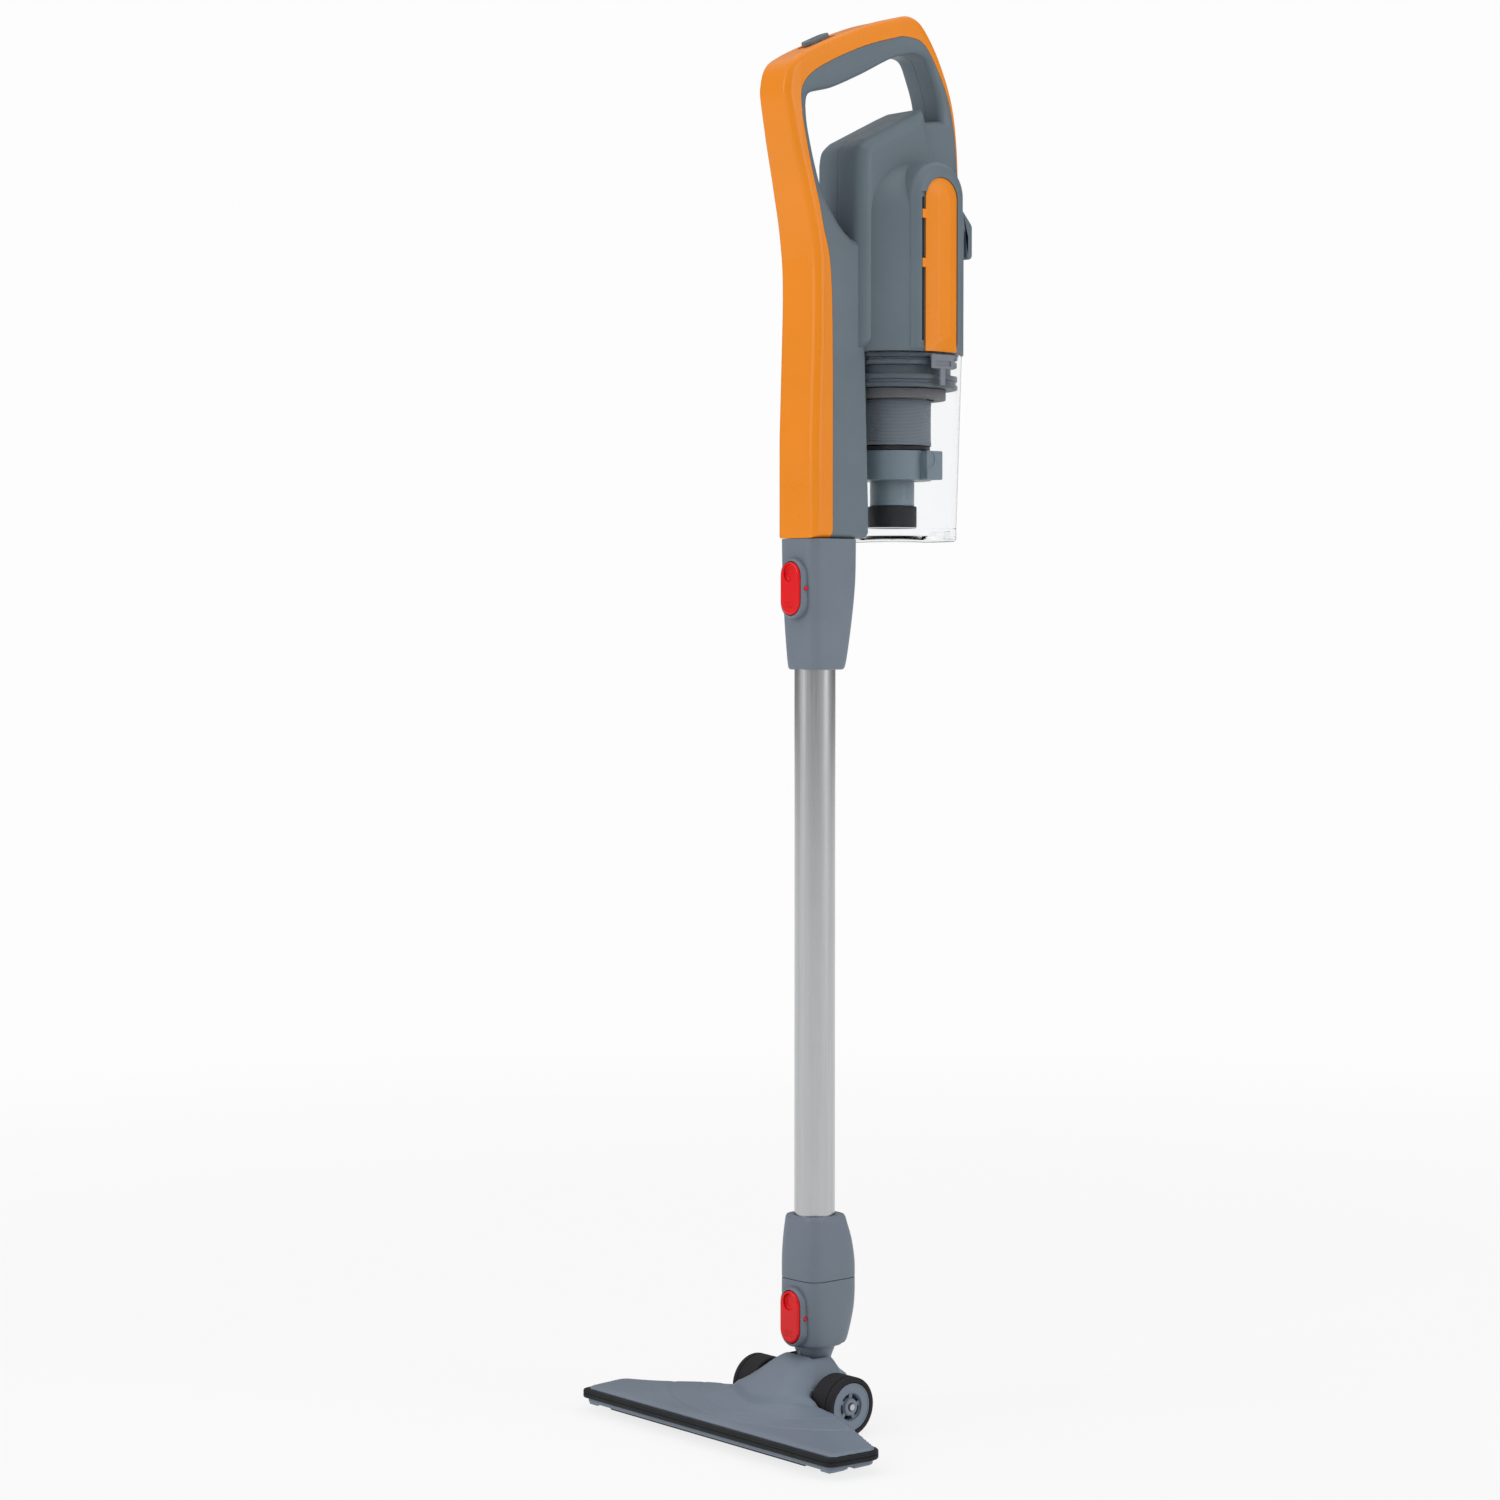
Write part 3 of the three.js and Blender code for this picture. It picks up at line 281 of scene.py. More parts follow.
def rounded_block(x0, x1, y0, y1, z0, z1, edge=0.6):
    obj = block(x0, x1, y0, y1, z0, z1)
    bm = bmesh.new()
    bm.from_mesh(obj.data)
    bmesh.ops.bevel(bm, geom=bm.edges[:], offset=edge, segments=3, affect="EDGES", profile=0.5)
    bm.to_mesh(obj.data)
    bm.free()
    return obj


def rod(radius, x0, x1, y, z, sides=48, edge=0.3):
    return lathe(rounded([(0, x0), (radius, x0), (radius, x1), (0, x1)], edge), (y, z), sides, "x")


def post(radius, x, y, z0, z1, sides=64, top=None):
    top = radius if top is None else top
    return lathe([(0, z0), (radius, z0), (top, z1), (0, z1)], (x, y), sides)


def baked(obj):
    """The object's mesh with its modifiers applied."""
    evaluated = obj.evaluated_get(bpy.context.evaluated_depsgraph_get())
    mesh = bpy.data.meshes.new_from_object(evaluated)
    obj.modifiers.clear()
    old, obj.data = obj.data, mesh
    bpy.data.meshes.remove(old)
    return obj


def combine(obj, kind, *tools):
    for tool in tools:
        step = obj.modifiers.new("join", "BOOLEAN")
        step.operation = kind
        step.solver = "MANIFOLD"
        step.object = tool
    baked(obj)
    for tool in tools:
        bpy.data.objects.remove(tool)
    return obj


def cut(obj, *tools):
    return combine(obj, "DIFFERENCE", *tools)


def join(obj, *tools):
    return combine(obj, "UNION", *tools)


def keep(obj, *tools):
    return combine(obj, "INTERSECT", *tools)


def copy(obj):
    twin = obj.copy()
    twin.data = obj.data.copy()
    bpy.context.scene.collection.objects.link(twin)
    return twin


def warp(obj, change):
    for v in obj.data.vertices:
        v.co = change(v.co)
    return obj


def mirrored(obj, side):
    if side > 0:
        return obj
    obj.data.transform(Matrix.Scale(-1, 4, (1, 0, 0)))
    obj.data.flip_normals()
    return obj


def piece(name, obj, body, slot, *stands_for, look=None):
    """Merges and shades a mesh drawn in millimetres, and hands it to the frame as a visible piece."""
    bm = bmesh.new()
    bm.from_mesh(obj.data)
    bmesh.ops.remove_doubles(bm, verts=bm.verts, dist=MERGE)
    bmesh.ops.dissolve_degenerate(bm, dist=MERGE, edges=bm.edges)
    bmesh.ops.dissolve_limit(bm, angle_limit=FLAT_ANGLE, verts=bm.verts, edges=bm.edges)
    bm.to_mesh(obj.data)
    bm.free()
    obj.data.transform(Matrix.Translation((0, WAND_Y, 0)) @ Matrix.Scale(MM, 4))
    obj.name = name
    obj.data.name = name
    obj.data.materials.clear()
    obj.data.materials.append(looks[look or slot])
    obj.data.shade_smooth()
    obj.data.set_sharp_from_angle(angle=SHARP_ANGLE)
    even = obj.modifiers.new("even", "WEIGHTED_NORMAL")
    even.keep_sharp = True
    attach(obj, body)
    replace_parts(obj, *stands_for)


# ---- procedural materials ----
def linear(*srgb):
    return tuple(c / 255 / 12.92 if c <= 10 else ((c / 255 + 0.055) / 1.055) ** 2.4 for c in srgb)


def shade(color, factor):
    return tuple(min(c * factor, 1) for c in color)


class Nodes:
    """Short calls for building a node tree."""

    def __init__(self, tree):
        self.tree = tree

    def link(self, source, target):
        self.tree.links.new(source, target)

    def add(self, kind, inputs, **settings):
        """A node with its settings, and each input given a value or linked to a socket."""
        node = self.tree.nodes.new("ShaderNode" + kind)
        for key, value in settings.items():
            setattr(node, key, value)
        for key, value in inputs.items():
            if isinstance(value, bpy.types.NodeSocket):
                self.link(value, node.inputs[key])
            else:
                node.inputs[key].default_value = value
        return node

    def ramp(self, fac, stops):
        node = self.add("ValToRGB", {"Fac": fac})
        elements = node.color_ramp.elements
        while len(elements) < len(stops):
            elements.new(0.5)
        for element, (at, color) in zip(elements, stops):
            element.position = at
            element.color = (*color, 1) if isinstance(color, tuple) else (color, color, color, 1)
        return node.outputs["Color"]

    def math(self, kind, a, b=0.0):
        return self.add("Math", {0: a, 1: b}, operation=kind).outputs["Value"]

    def mix(self, fac, *colors):
        a, b = ((*c, 1) if isinstance(c, tuple) else c for c in colors)
        return self.add("Mix", {"Factor": fac, "A": a, "B": b}, data_type="RGBA").outputs["Result"]

    def blend(self, fac, a, b):
        return self.add("MixShader", {0: fac, 1: a, 2: b}).outputs[0]

    def glow(self, level):
        return self.add("Emission", {"Color": (level, level, level, 1)}).outputs[0]


class Graph(Nodes):
    """A material's tree, round its main shader and the object's own coordinates."""

    def __init__(self, name):
        self.material = bpy.data.materials.new(name)
        self.material.use_nodes = True
        super().__init__(self.material.node_tree)
        self.shader = self.tree.nodes["Principled BSDF"]
        self.place = self.add("TexCoord", {}).outputs["Object"]

    def set(self, name, value):
        self.shader.inputs[name].default_value = value

    def stretched(self, scale):
        return self.add("Mapping", {"Scale": scale, "Vector": self.place}).outputs["Vector"]

    def noise(self, scale, detail, rough, where=None):
        inputs = {"Scale": scale, "Detail": detail, "Roughness": rough, "Vector": where or self.place}
        return self.add("TexNoise", inputs).outputs["Fac"]

    def color(self, source):
        self.link(source, self.shader.inputs["Base Color"])

    def rough(self, source):
        self.link(source, self.shader.inputs["Roughness"])

    def bump(self, height, distance, strength):
        node = self.add("Bump", {"Strength": strength, "Distance": distance, "Height": height})
        self.link(node.outputs["Normal"], self.shader.inputs["Normal"])

    def surface(self, shader):
        self.link(shader, self.tree.nodes["Material Output"].inputs["Surface"])


def plastic(name, color, rough=0.42):
    """Moulded plastic: slow colour drift, a fine grain, faint scuffs and uneven gloss."""
    g = Graph(name)
    g.set("Specular IOR Level", 0.32)
    base = g.ramp(g.noise(14, 4, 0.55), [(0.3, shade(color, 0.93)), (0.7, shade(color, 1.06))])
    worn = g.ramp(g.noise(160, 5, 0.7, g.stretched((1, 0.35, 0.6))), [(0.62, 0.0), (0.8, 0.04)])
    g.color(g.mix(worn, base, shade(color, 1.6)))
    gloss = g.ramp(g.noise(55, 5, 0.6), [(0.3, rough - 0.06), (0.7, rough + 0.07)])
    g.rough(g.math("ADD", gloss, worn))
    g.bump(g.noise(1500, 2, 0.5), 0.00005, 0.6)
    return g.material


def glossy_plastic(name, color, rough):
    """Semi-gloss plastic: a very slight ripple, hairline scratches and a colour that deepens slowly."""
    g = Graph(name)
    g.set("Specular IOR Level", 0.3)
    base = g.ramp(g.noise(9, 3, 0.5), [(0.3, shade(color, 0.96)), (0.7, shade(color, 1.03))])
    hair = g.noise(420, 3, 0.8, g.stretched((1.0, 0.25, 0.12)))
    lines = g.ramp(hair, [(0.66, 0.0), (0.82, 0.035)])
    g.color(g.mix(lines, base, shade(color, 1.25)))
    gloss = g.ramp(g.noise(40, 4, 0.6), [(0.3, rough - 0.04), (0.7, rough + 0.05)])
    g.rough(g.math("ADD", gloss, lines))
    g.bump(g.noise(60, 2, 0.5), 0.00003, 0.4)
    return g.material


def rubber(name, color, rough, grain=0.0001, scale=900):
    """Soft rubber or elastomer: fine pores, dusty patches and dull highlights."""
    g = Graph(name)
    g.set("Specular IOR Level", 0.22)
    dusty = g.ramp(g.noise(45, 6, 0.65), [(0.5, 0.0), (0.8, 0.12)])
    g.color(g.mix(dusty, color, shade(color, 2.2)))
    g.rough(g.ramp(g.noise(90, 4, 0.6), [(0.3, rough - 0.08), (0.7, rough + 0.1)]))
    g.bump(g.noise(scale, 3, 0.6), grain, 0.8)
    return g.material


def metal(name, color, rough, stretch):
    """Bare metal with drawn or turned lines in one direction."""
    g = Graph(name)
    g.set("Metallic", 1)
    lines = g.noise(260, 5, 0.7, g.stretched(stretch))
    g.color(g.ramp(lines, [(0.3, shade(color, 0.9)), (0.7, shade(color, 1.05))]))
    cloudy = g.noise(22, 4, 0.6)
    g.rough(g.math("ADD", g.ramp(lines, [(0.25, rough - 0.05), (0.75, rough + 0.06)]),
                   g.ramp(cloudy, [(0.35, 0.0), (0.75, 0.05)])))
    g.bump(lines, 0.00003, 0.5)
    return g.material


def clear_plastic(name, tint):
    """Clear moulded plastic that lets the lamps through, with faint scuffs."""
    g = Graph(name)
    g.set("Transmission Weight", 1)
    g.set("IOR", 1.07)
    g.color(g.ramp(g.noise(30, 3, 0.5), [(0.3, shade(tint, 0.985)), (0.7, tint)]))
    g.rough(g.ramp(g.noise(300, 5, 0.75, g.stretched((1, 1, 0.3))), [(0.6, 0.04), (0.8, 0.09)]))
    path = g.add("LightPath", {})
    clear = g.add("BsdfTransparent", {"Color": (0.93, 0.94, 0.95, 1)})
    g.surface(g.blend(path.outputs["Is Shadow Ray"], g.shader.outputs[0], clear.outputs[0]))
    return g.material


def weave(name, color, pitch, lift=0.00025):
    """A fine square mesh or cloth, woven round the upright axis or flat."""
    g = Graph(name)
    x, y, z = (g.add("SeparateXYZ", {0: g.place}).outputs[k] for k in "XYZ")
    turn = math.tau / pitch
    up = g.math("SINE", g.math("MULTIPLY", z, turn))
    across = g.math("SINE", g.math("MULTIPLY", g.math("ADD", x, y), turn))
    level = g.math("ADD", g.math("MULTIPLY", g.math("ADD", up, across), 0.25), 0.5)
    fibre = g.noise(2200, 3, 0.7)
    g.color(g.ramp(g.math("ADD", g.math("MULTIPLY", level, 0.8), g.math("MULTIPLY", fibre, 0.2)),
                   [(0.25, shade(color, 0.45)), (0.75, shade(color, 1.25))]))
    g.rough(g.ramp(fibre, [(0.3, 0.75), (0.7, 0.95)]))
    g.bump(level, lift, 0.8)
    return g.material


FINISHES = (
    ("head_grey", plastic, linear(116, 127, 141), 0.4),
    ("body_grey", plastic, linear(103, 116, 125), 0.42),
    ("dark_grey", plastic, linear(70, 79, 87), 0.45),
    ("accent_orange", glossy_plastic, linear(242, 141, 26), 0.3),
    ("latch_red", glossy_plastic, linear(230, 10, 20), 0.3),
    ("bumper_black", rubber, linear(30, 32, 35), 0.6),
    ("tyre_black", rubber, linear(40, 40, 42), 0.75, 0.00018, 500),
    ("trim_black", plastic, linear(22, 23, 25), 0.5),
    ("lint_fabric", weave, linear(60, 60, 66), 0.0012, 0.0004),
    ("tube_alloy", metal, linear(188, 189, 191), 0.19, (1, 1, 0.02)),
    ("steel", metal, linear(190, 191, 194), 0.3, (0.05, 1, 1)),
    ("motor_can", metal, linear(168, 168, 171), 0.38, (1, 1, 0.08)),
    ("clear_cup", clear_plastic, (0.97, 0.98, 0.985)),
    ("filter_mesh", weave, linear(104, 112, 120), 0.0011),
    ("filter_paper", weave, linear(226, 222, 212), 0.003),
    ("socket_grey", plastic, linear(114, 124, 136)),
    ("seal_grey", rubber, linear(92, 93, 96), 0.55),
    ("clasp_grey", plastic, linear(124, 130, 139), 0.35),
    ("circuit_green", plastic, linear(38, 96, 62), 0.35),
)
looks = {name: make(name, *values) for name, make, *values in FINISHES}


# ---- floor head ----
HEAD_FRONT = -115
HEAD_HALF = 146
HEAD_SIDE = 150
HEAD_REAR = -39.5
HUMP_HALF = 33.4
HUMP_REAR = 18
SOLE_LOW = 6.1
PAD_THICK = 1.3
SOLE_HIGH = low("head_bumper").z - GAP
BUMPER_HIGH = high("head_bumper").z
BUMPER_REAR = high("head_bumper").y
BUMPER_OUT = 3
HEAD_WALL = 2.4
HEAD_CLEAR = 80
NECK_WAY = 16
NECK_Z = 34
NECK_PIN_BORE = 3.3


def bend(start, control, end, steps):
    p, c, q = Vector(start), Vector(control), Vector(end)
    places = (k / steps for k in range(1, steps + 1))
    return [tuple(p * (1 - t) ** 2 + c * 2 * t * (1 - t) + q * t * t) for t in places]


def head_half_outline():
    """The right half of the head in plan, from the middle of its front edge to the middle of its rear."""
    line = [(0, HEAD_FRONT), (HEAD_HALF - 5, HEAD_FRONT)]
    line += bend(line[-1], (HEAD_HALF, HEAD_FRONT), (HEAD_HALF + 0.5, HEAD_FRONT + 5), 5)
    line.append((HEAD_SIDE - 0.5, -80))
    line += bend(line[-1], (HEAD_SIDE, -72), (HEAD_SIDE - 7, -69), 6)
    line += bend(line[-1], (102, -50), (66, HEAD_REAR), 14)
    line += bend((HUMP_HALF + 9, HEAD_REAR), (HUMP_HALF, HEAD_REAR), (HUMP_HALF, HEAD_REAR + 9), 6)
    line += bend((HUMP_HALF, HUMP_REAR - 11), (HUMP_HALF - 1, HUMP_REAR), (HUMP_HALF - 12, HUMP_REAR), 8)
    return line + [(0, HUMP_REAR)]


def head_outline():
    half = head_half_outline()
    return half[:-1] + [(-x, y) for x, y in reversed(half[1:])]


def rim_distance(line, x, y):
    """How far inside the outline each point is."""
    a = np.array(line)
    step = np.roll(a, -1, 0) - a
    p = np.stack([x, y], -1)[..., None, :]
    t = np.clip(np.sum((p - a) * step, -1) / np.sum(step * step, -1), 0, 1)
    return np.min(np.linalg.norm(p - (a + t[..., None] * step), axis=-1), -1)


def head_height(x, y):
    """The head's top: a plate with a front lip, the hump over the neck, and its fall to the rear."""
    across = np.abs(x)
    lip = 2 * smooth(0, 8, y - HEAD_FRONT)
    plate = BUMPER_HIGH + lip + 6 * smooth(-100, -38, y) * smooth(HEAD_SIDE, 55, across)
    reach = 40 + 14 * smooth(-10, -60, y)
    hump = 25 * smooth(-74, -14, y) * (1 - smooth(12, reach, across))
    return plate + hump - 9 * smooth(2, HUMP_REAR, y)


def crease(distance, wide=0.9):
    return np.exp(-(distance / wide) ** 2)


def under_head(lowered=0.0, detailed=False):
    """The space under the head's top, from a fine height grid."""
    step = 1.5 if detailed else 5
    xs = np.arange(-HEAD_SIDE - 9, HEAD_SIDE + 9.1, step)
    ys = np.arange(HEAD_FRONT - 9, HUMP_REAR + 9.1, step)
    gx, gy = np.meshgrid(xs, ys, indexing="ij")
    top = head_height(gx, gy) - lowered
    if detailed:
        inside = np.clip(3.2 - rim_distance(head_outline(), gx, gy), 0, 3.05)
        top -= 3.2 - np.sqrt(3.2**2 - inside**2)
        across = np.abs(gx)
        wing = np.hypot(across / 112, (gy + 36) / 62)
        top -= 0.8 * crease((wing - 1) * 45) * smooth(118, 95, across) * smooth(-109, -100, gy)
        base = np.hypot(across / 52, (gy + 18) / 44)
        top += 3 * smooth(64, 38, across) * smooth(-76, -52, gy) * smooth(14, 0, gy)
        top += (1.8 * smooth(1.05, 0.97, base) - 0.9 * crease((base - 1.08) * 30)) * smooth(10, 0, gy)
        inner = np.hypot(across / 84, (gy + 30) / 52)
        top -= 0.55 * crease((inner - 1) * 50, 0.8) * smooth(88, 75, across) * smooth(-92, -80, gy)
    bm = bmesh.new()
    rows, columns = range(len(xs)), range(len(ys))
    upper = [[bm.verts.new((gx[i, j], gy[i, j], top[i, j])) for j in columns] for i in rows]
    for i in rows[:-1]:
        for j in columns[:-1]:
            bm.faces.new((upper[i][j], upper[i + 1][j], upper[i + 1][j + 1], upper[i][j + 1]))
    rim = [v[0] for v in upper] + upper[-1][1:] + [v[-1] for v in upper[-2::-1]] + upper[0][-2:0:-1]
    base = [bm.verts.new((v.co.x, v.co.y, -5)) for v in rim]
    for i in range(len(rim)):
        k = (i + 1) % len(rim)
        bm.faces.new((rim[i], base[i], base[k], rim[k]))
    bm.faces.new(base)
    return to_object(bm)


def head_shell():
    line = head_outline()
    shell = keep(prism(line, SOLE_HIGH + GAP, HEAD_CLEAR, "z"), under_head(0, True))
    inner = keep(prism(line, -1, HEAD_CLEAR, "z", inset=2 * HEAD_WALL + 1), under_head(HEAD_WALL))
    seat = prism(line, SOLE_HIGH - 1, BUMPER_HIGH + GAP, "z", inset=-6)
    seat = cut(seat, prism(line, SOLE_HIGH - 2, BUMPER_HIGH + 1, "z", inset=HEAD_WALL + GAP),
               block(-200, 200, BUMPER_REAR + 0.5, 60, 0, 60))
    shell = cut(shell, inner)
    cheeks = [rounded_block(side * 18 - 2, side * 18 + 2, -20, 14, 12, 42) for side in (-1, 1)]
    cheeks = [keep(cheek, under_head(1)) for cheek in cheeks]
    shell = join(shell, *cheeks)
    way = rounded_block(-NECK_WAY, NECK_WAY, -17, 44, 28, 92, 2.2)
    return cut(shell, seat, way, block(-NECK_WAY, NECK_WAY, 0, 44, 20, 90),
               rod(16.5, -NECK_WAY, NECK_WAY, 0, NECK_Z), rod(2.8, -40, 40, WHEEL_Y, WHEEL_Z),
               rod(NECK_PIN_BORE, -18.5, 18.5, 0, NECK_Z))


def head_sole():
    plate = prism(head_outline(), SOLE_LOW, SOLE_HIGH, "z", 1.2, 1.2, 4, edges=(True, False))
    top, pad = SOLE_LOW + 1, SOLE_LOW - PAD_THICK
    feet = []
    for side in (-1, 1):
        feet.append(rounded_block(side * 125 - 5, side * 125 + 5, -98, -85, 0, top, 1.0))
        for x, half, front, back in ((138, 5, -113, -100), (138.5, 5.5, -89, -78)):
            feet.append(rounded_block(side * x - half, side * x + half, front, back, pad, top, 0.5))
    plate = join(plate, *feet)
    tools = [rounded_block(-118, 118, -108, -92, -1, 20, 2.0)]
    for side in (-1, 1):
        tools.append(block(side * 147.5 - 12.5, side * 147.5 + 12.5, -98, -91, 0, SOLE_LOW + 1.6))
    tools += [post(2.3, x, y, -1, 20, 32) for x, y in ((110, -74), (-110, -74), (24, -50), (-24, -50))]
    tools += [block(-116.3, 116.3, y - 0.3, y + 2.8, 0, 7.6) for y in (-88.5, -113.2)]
    return cut(plate, *tools)


def head_bumper():
    line = head_outline()
    base = SOLE_HIGH + GAP
    out, back, top = -BUMPER_OUT, HEAD_WALL, base + (BUMPER_HIGH - SOLE_HIGH - GAP)
    profile = rounded([(out, base), (out, top), (back, top), (back, base)], 1.5, 6)
    rings = [[(u, v, h) for u, v in offset(line, inset)] for inset, h in profile]
    band = from_rings(rings, closed=True)
    groove = [[(u, v, h) for u, v in offset(line, inset)] for inset, h in
              [(-3.6, 14.7), (-2.5, 14.5), (-2.5, 13.9), (-3.6, 13.7)]]
    return cut(band, from_rings(groove, closed=True), block(-200, 200, BUMPER_REAR, 60, 0, 60))


def add_head():
    piece("head_cover", head_shell(), "floor_head", "head_grey", "head_top_shell")
    piece("head_sole", head_sole(), "floor_head", "head_grey", "head_sole_plate")
    piece("head_bumper_band", head_bumper(), "floor_head", "bumper_black", "head_bumper")
    for node in ("lint_strip_front", "lint_strip_rear"):
        a, b = low(node), high(node)
        pile = rounded_block(a.x, b.x, a.y, b.y, a.z, b.z, 0.9)
        piece(node + "_pile", pile, "floor_head", "lint_fabric", node)


# ---- wheels ----
WHEEL_Y = -13
WHEEL_Z = 23
WHEEL_R = (high("wheel_tyre_left").z - low("wheel_tyre_left").z) / 2
RIM_R = 18.7
WHEEL_IN = low("wheel_tyre_left").x
WHEEL_OUT = high("wheel_tyre_left").x


def wheel_tyre():
    profile = [(RIM_R, WHEEL_IN), (WHEEL_R, WHEEL_IN), (WHEEL_R, WHEEL_OUT), (RIM_R, WHEEL_OUT)]
    tyre = lathe(rounded(profile, 2.2, 6), (WHEEL_Y, WHEEL_Z), 120, "x")
    x, deep, out = WHEEL_OUT - 5.5, WHEEL_R - 0.5, WHEEL_R + 1
    groove = [(deep, x - 0.5), (out, x - 0.8), (out, x + 0.8), (deep, x + 0.5)]
    return cut(tyre, lathe(groove, (WHEEL_Y, WHEEL_Z), 120, "x"))


def wheel_rim():
    face = WHEEL_OUT - GAP
    rear = WHEEL_IN + 0.6
    outer = RIM_R - GAP
    profile = [(2.62, rear + 6.4), (6, rear + 6.4), (6, rear), (outer - 2.4, rear), (outer, rear),
               (outer, face), (outer - 0.6, face), (outer - 1.2, face - 0.7), (12.0, face - 0.9),
               (11.4, face - 0.5), (10.9, face - 0.5), (10.6, face - 2.6), (6.6, face - 2.6),
               (6.3, face - 0.7), (5.6, face - 0.3), (3.4, face - 0.3), (3.2, face - 1.2),
               (2.62, face - 1.2)]
    rim = lathe(rounded(profile, 0.35, 3), (WHEEL_Y, WHEEL_Z), 96, "x")
    windows = []
    for start in range(20, 360, 72):
        line = arc(WHEEL_Y, WHEEL_Z, 10.2, start, start + 50, 8)
        line += arc(WHEEL_Y, WHEEL_Z, 7, start + 50, start, 8)
        windows.append(prism(line, face - 12, face + 2, "x"))
    back = lathe([(7, rear - 1), (outer - 2.6, rear - 1), (outer - 2.6, rear + 6), (7, rear + 6)],
                 (WHEEL_Y, WHEEL_Z), 64, "x")
    return cut(rim, back, *windows)


def add_wheels():
    for name, side in SIDES:
        body = "wheel_" + name
        piece("tyre_" + name, mirrored(wheel_tyre(), side), body, "tyre_black", "wheel_tyre_" + name)
        piece("rim_" + name, mirrored(wheel_rim(), side), body, "head_grey", "wheel_rim_" + name)


# ---- neck and sockets ----
NECK_TOP = low("head_socket").z
SEAM_Z = low("wand_collar").z
COLLAR_TOP = high("wand_collar").z
SOCKET_LOW = low("wand_socket").z
TUBE_FIT = 0.35
SECTION_SIDES = 112


def neck():
    top = NECK_TOP - GAP
    body = join(
        rod(15, -15, 15, 0, NECK_Z, 96, 1.2),
        lathe([(0, NECK_Z), (11.5, NECK_Z), (12.5, 48), (13.6, 53), (15.6, 58), (16.3, top), (12.2, top),
               (12.2, 66.5), (14, 66.5), (14, 69), (0, 69)]),
    )
    rib = join(rounded_block(-1.2, 1.2, -16, -10, 36, 58, 0.5),
               rounded_block(-1.2, 1.2, 10, 15.6, 44, 58, 0.5))
    body = join(body, keep(rib, post(15.9, 0, 0, 30, NECK_TOP - 0.6)))
    bore = rod(NECK_PIN_BORE, -30, 30, 0, NECK_Z)
    return cut(body, post(9.4, 0, 0, 4, 80), block(-9, 9, -9, 9, 4, NECK_Z), bore)


def section(half, front, back, power, z):
    ring = []
    for i in range(SECTION_SIDES):
        a = math.tau * i / SECTION_SIDES
        c, s = math.cos(a), math.sin(a)
        x = math.copysign(abs(c) ** (2 / power), c) * half
        y = (front + back) / 2 + math.copysign(abs(s) ** (2 / power), s) * (back - front) / 2
        ring.append((x, y, z))
    return ring


def loft(levels, edge_low, edge_high):
    """A rounded box section through levels of (z, half, front, back, power), with softened ends."""
    table = np.array(levels, float)
    rows = [table[0]] + curve(table, 6)
    base, top = rows[0], rows[-1]
    turns = [math.radians(90 * k / 5) for k in range(6)]
    rings = [(base, base[0] + edge_low * (1 - math.cos(a)), edge_low * (1 - math.sin(a))) for a in turns[:5]]
    rings += [(row, row[0], 0) for row in rows[1:-1] if base[0] + edge_low < row[0] < top[0] - edge_high]
    rings += [(top, top[0] - edge_high * (1 - math.cos(a)), edge_high * (1 - math.sin(a)))
              for a in reversed(turns)]
    return from_rings([section(r[1] - less, r[2] + less, r[3] - less, r[4], z) for r, z, less in rings])


BUTTON_FACE = low("upper_button").y
BUTTON_HALF = high("upper_button").x
BUTTON_HIGH = high("upper_button").z - low("upper_button").z
BUTTON_PIN_Y = BUTTON_FACE + 5.5


def button_places():
    return {name: (low(name + "_button").z + high(name + "_button").z) / 2 for name in ("lower", "upper")}


def front_stadium(z, half, tall, front, back, edge=0.0, steps=6, edges=(True, False)):
    """A stadium prism seen from the front, its front rim rounded."""
    return prism(stadium(z, half, tall), front, back, "y", edge, steps=steps, edges=edges)


def with_button_seat(shell, z):
    half, tall, face = BUTTON_HALF, BUTTON_HIGH, BUTTON_FACE
    boss = front_stadium(z, half + 2.2, tall + 6, face + 1.6, face + 12, 2.4)
    recess = front_stadium(z, half + 0.7, tall + 1.4, face - 4, face + 8.4)
    pin = rod(1.9, -20, 20, BUTTON_PIN_Y, z, 24)
    return cut(join(shell, boss), recess, pin)


def head_socket():
    outer = loft([(NECK_TOP, 18.5, -17.5, 18.5, 3.6), (66, 20, -19.2, 22.5, 4), (86, 21.6, -20.6, 27.4, 4.4),
                  (100, 22, -21, 28.8, 4.6), (SEAM_Z - GAP, 22, -21, 29, 4.6)], 1.6, 0.7)
    shell = with_button_seat(outer, button_places()["lower"])
    return cut(shell, post(12.7, 0, 0, 40, 67), post(14.5, 0, 0, 66.1, 69.4), post(11, 0, 0, 60, 90),
               post(WAND_R + TUBE_FIT, 0, 0, low("wand_tube").z - 1, 130, 96))


def wand_collar():
    outer = loft([(SEAM_Z, 22, -21, 29, 4.6), (128, 22, -21, 28.6, 4.6), (144, 21.4, -20.4, 26, 4.4),
                  (158, 20.2, -19.4, 22, 4), (COLLAR_TOP, 19.4, -18.6, 20.4, 3.8)], 0.7, 1.4)
    return cut(outer, post(WAND_R + GAP, 0, 0, 100, 200, 96))


def wand_socket():
    outer = loft([(SOCKET_LOW, 18.6, -16.6, 19.4, 3.8), (600, 19.4, -17.4, 21.4, 4.2),
                  (630, 20.8, -19.2, 25.6, 4.6), (660, 21.8, -20.4, 28.4, 4.8),
                  (BODY_LOW - GAP, 22, -21, 29, 4.8)], 1.4, 0.6)
    shell = with_button_seat(outer, button_places()["upper"])
    bore = post(WAND_R + TUBE_FIT, 0, 0, 580, high("wand_tube").z + 1, 96)
    return cut(shell, bore, post(13, 0, 0, 640, 700))


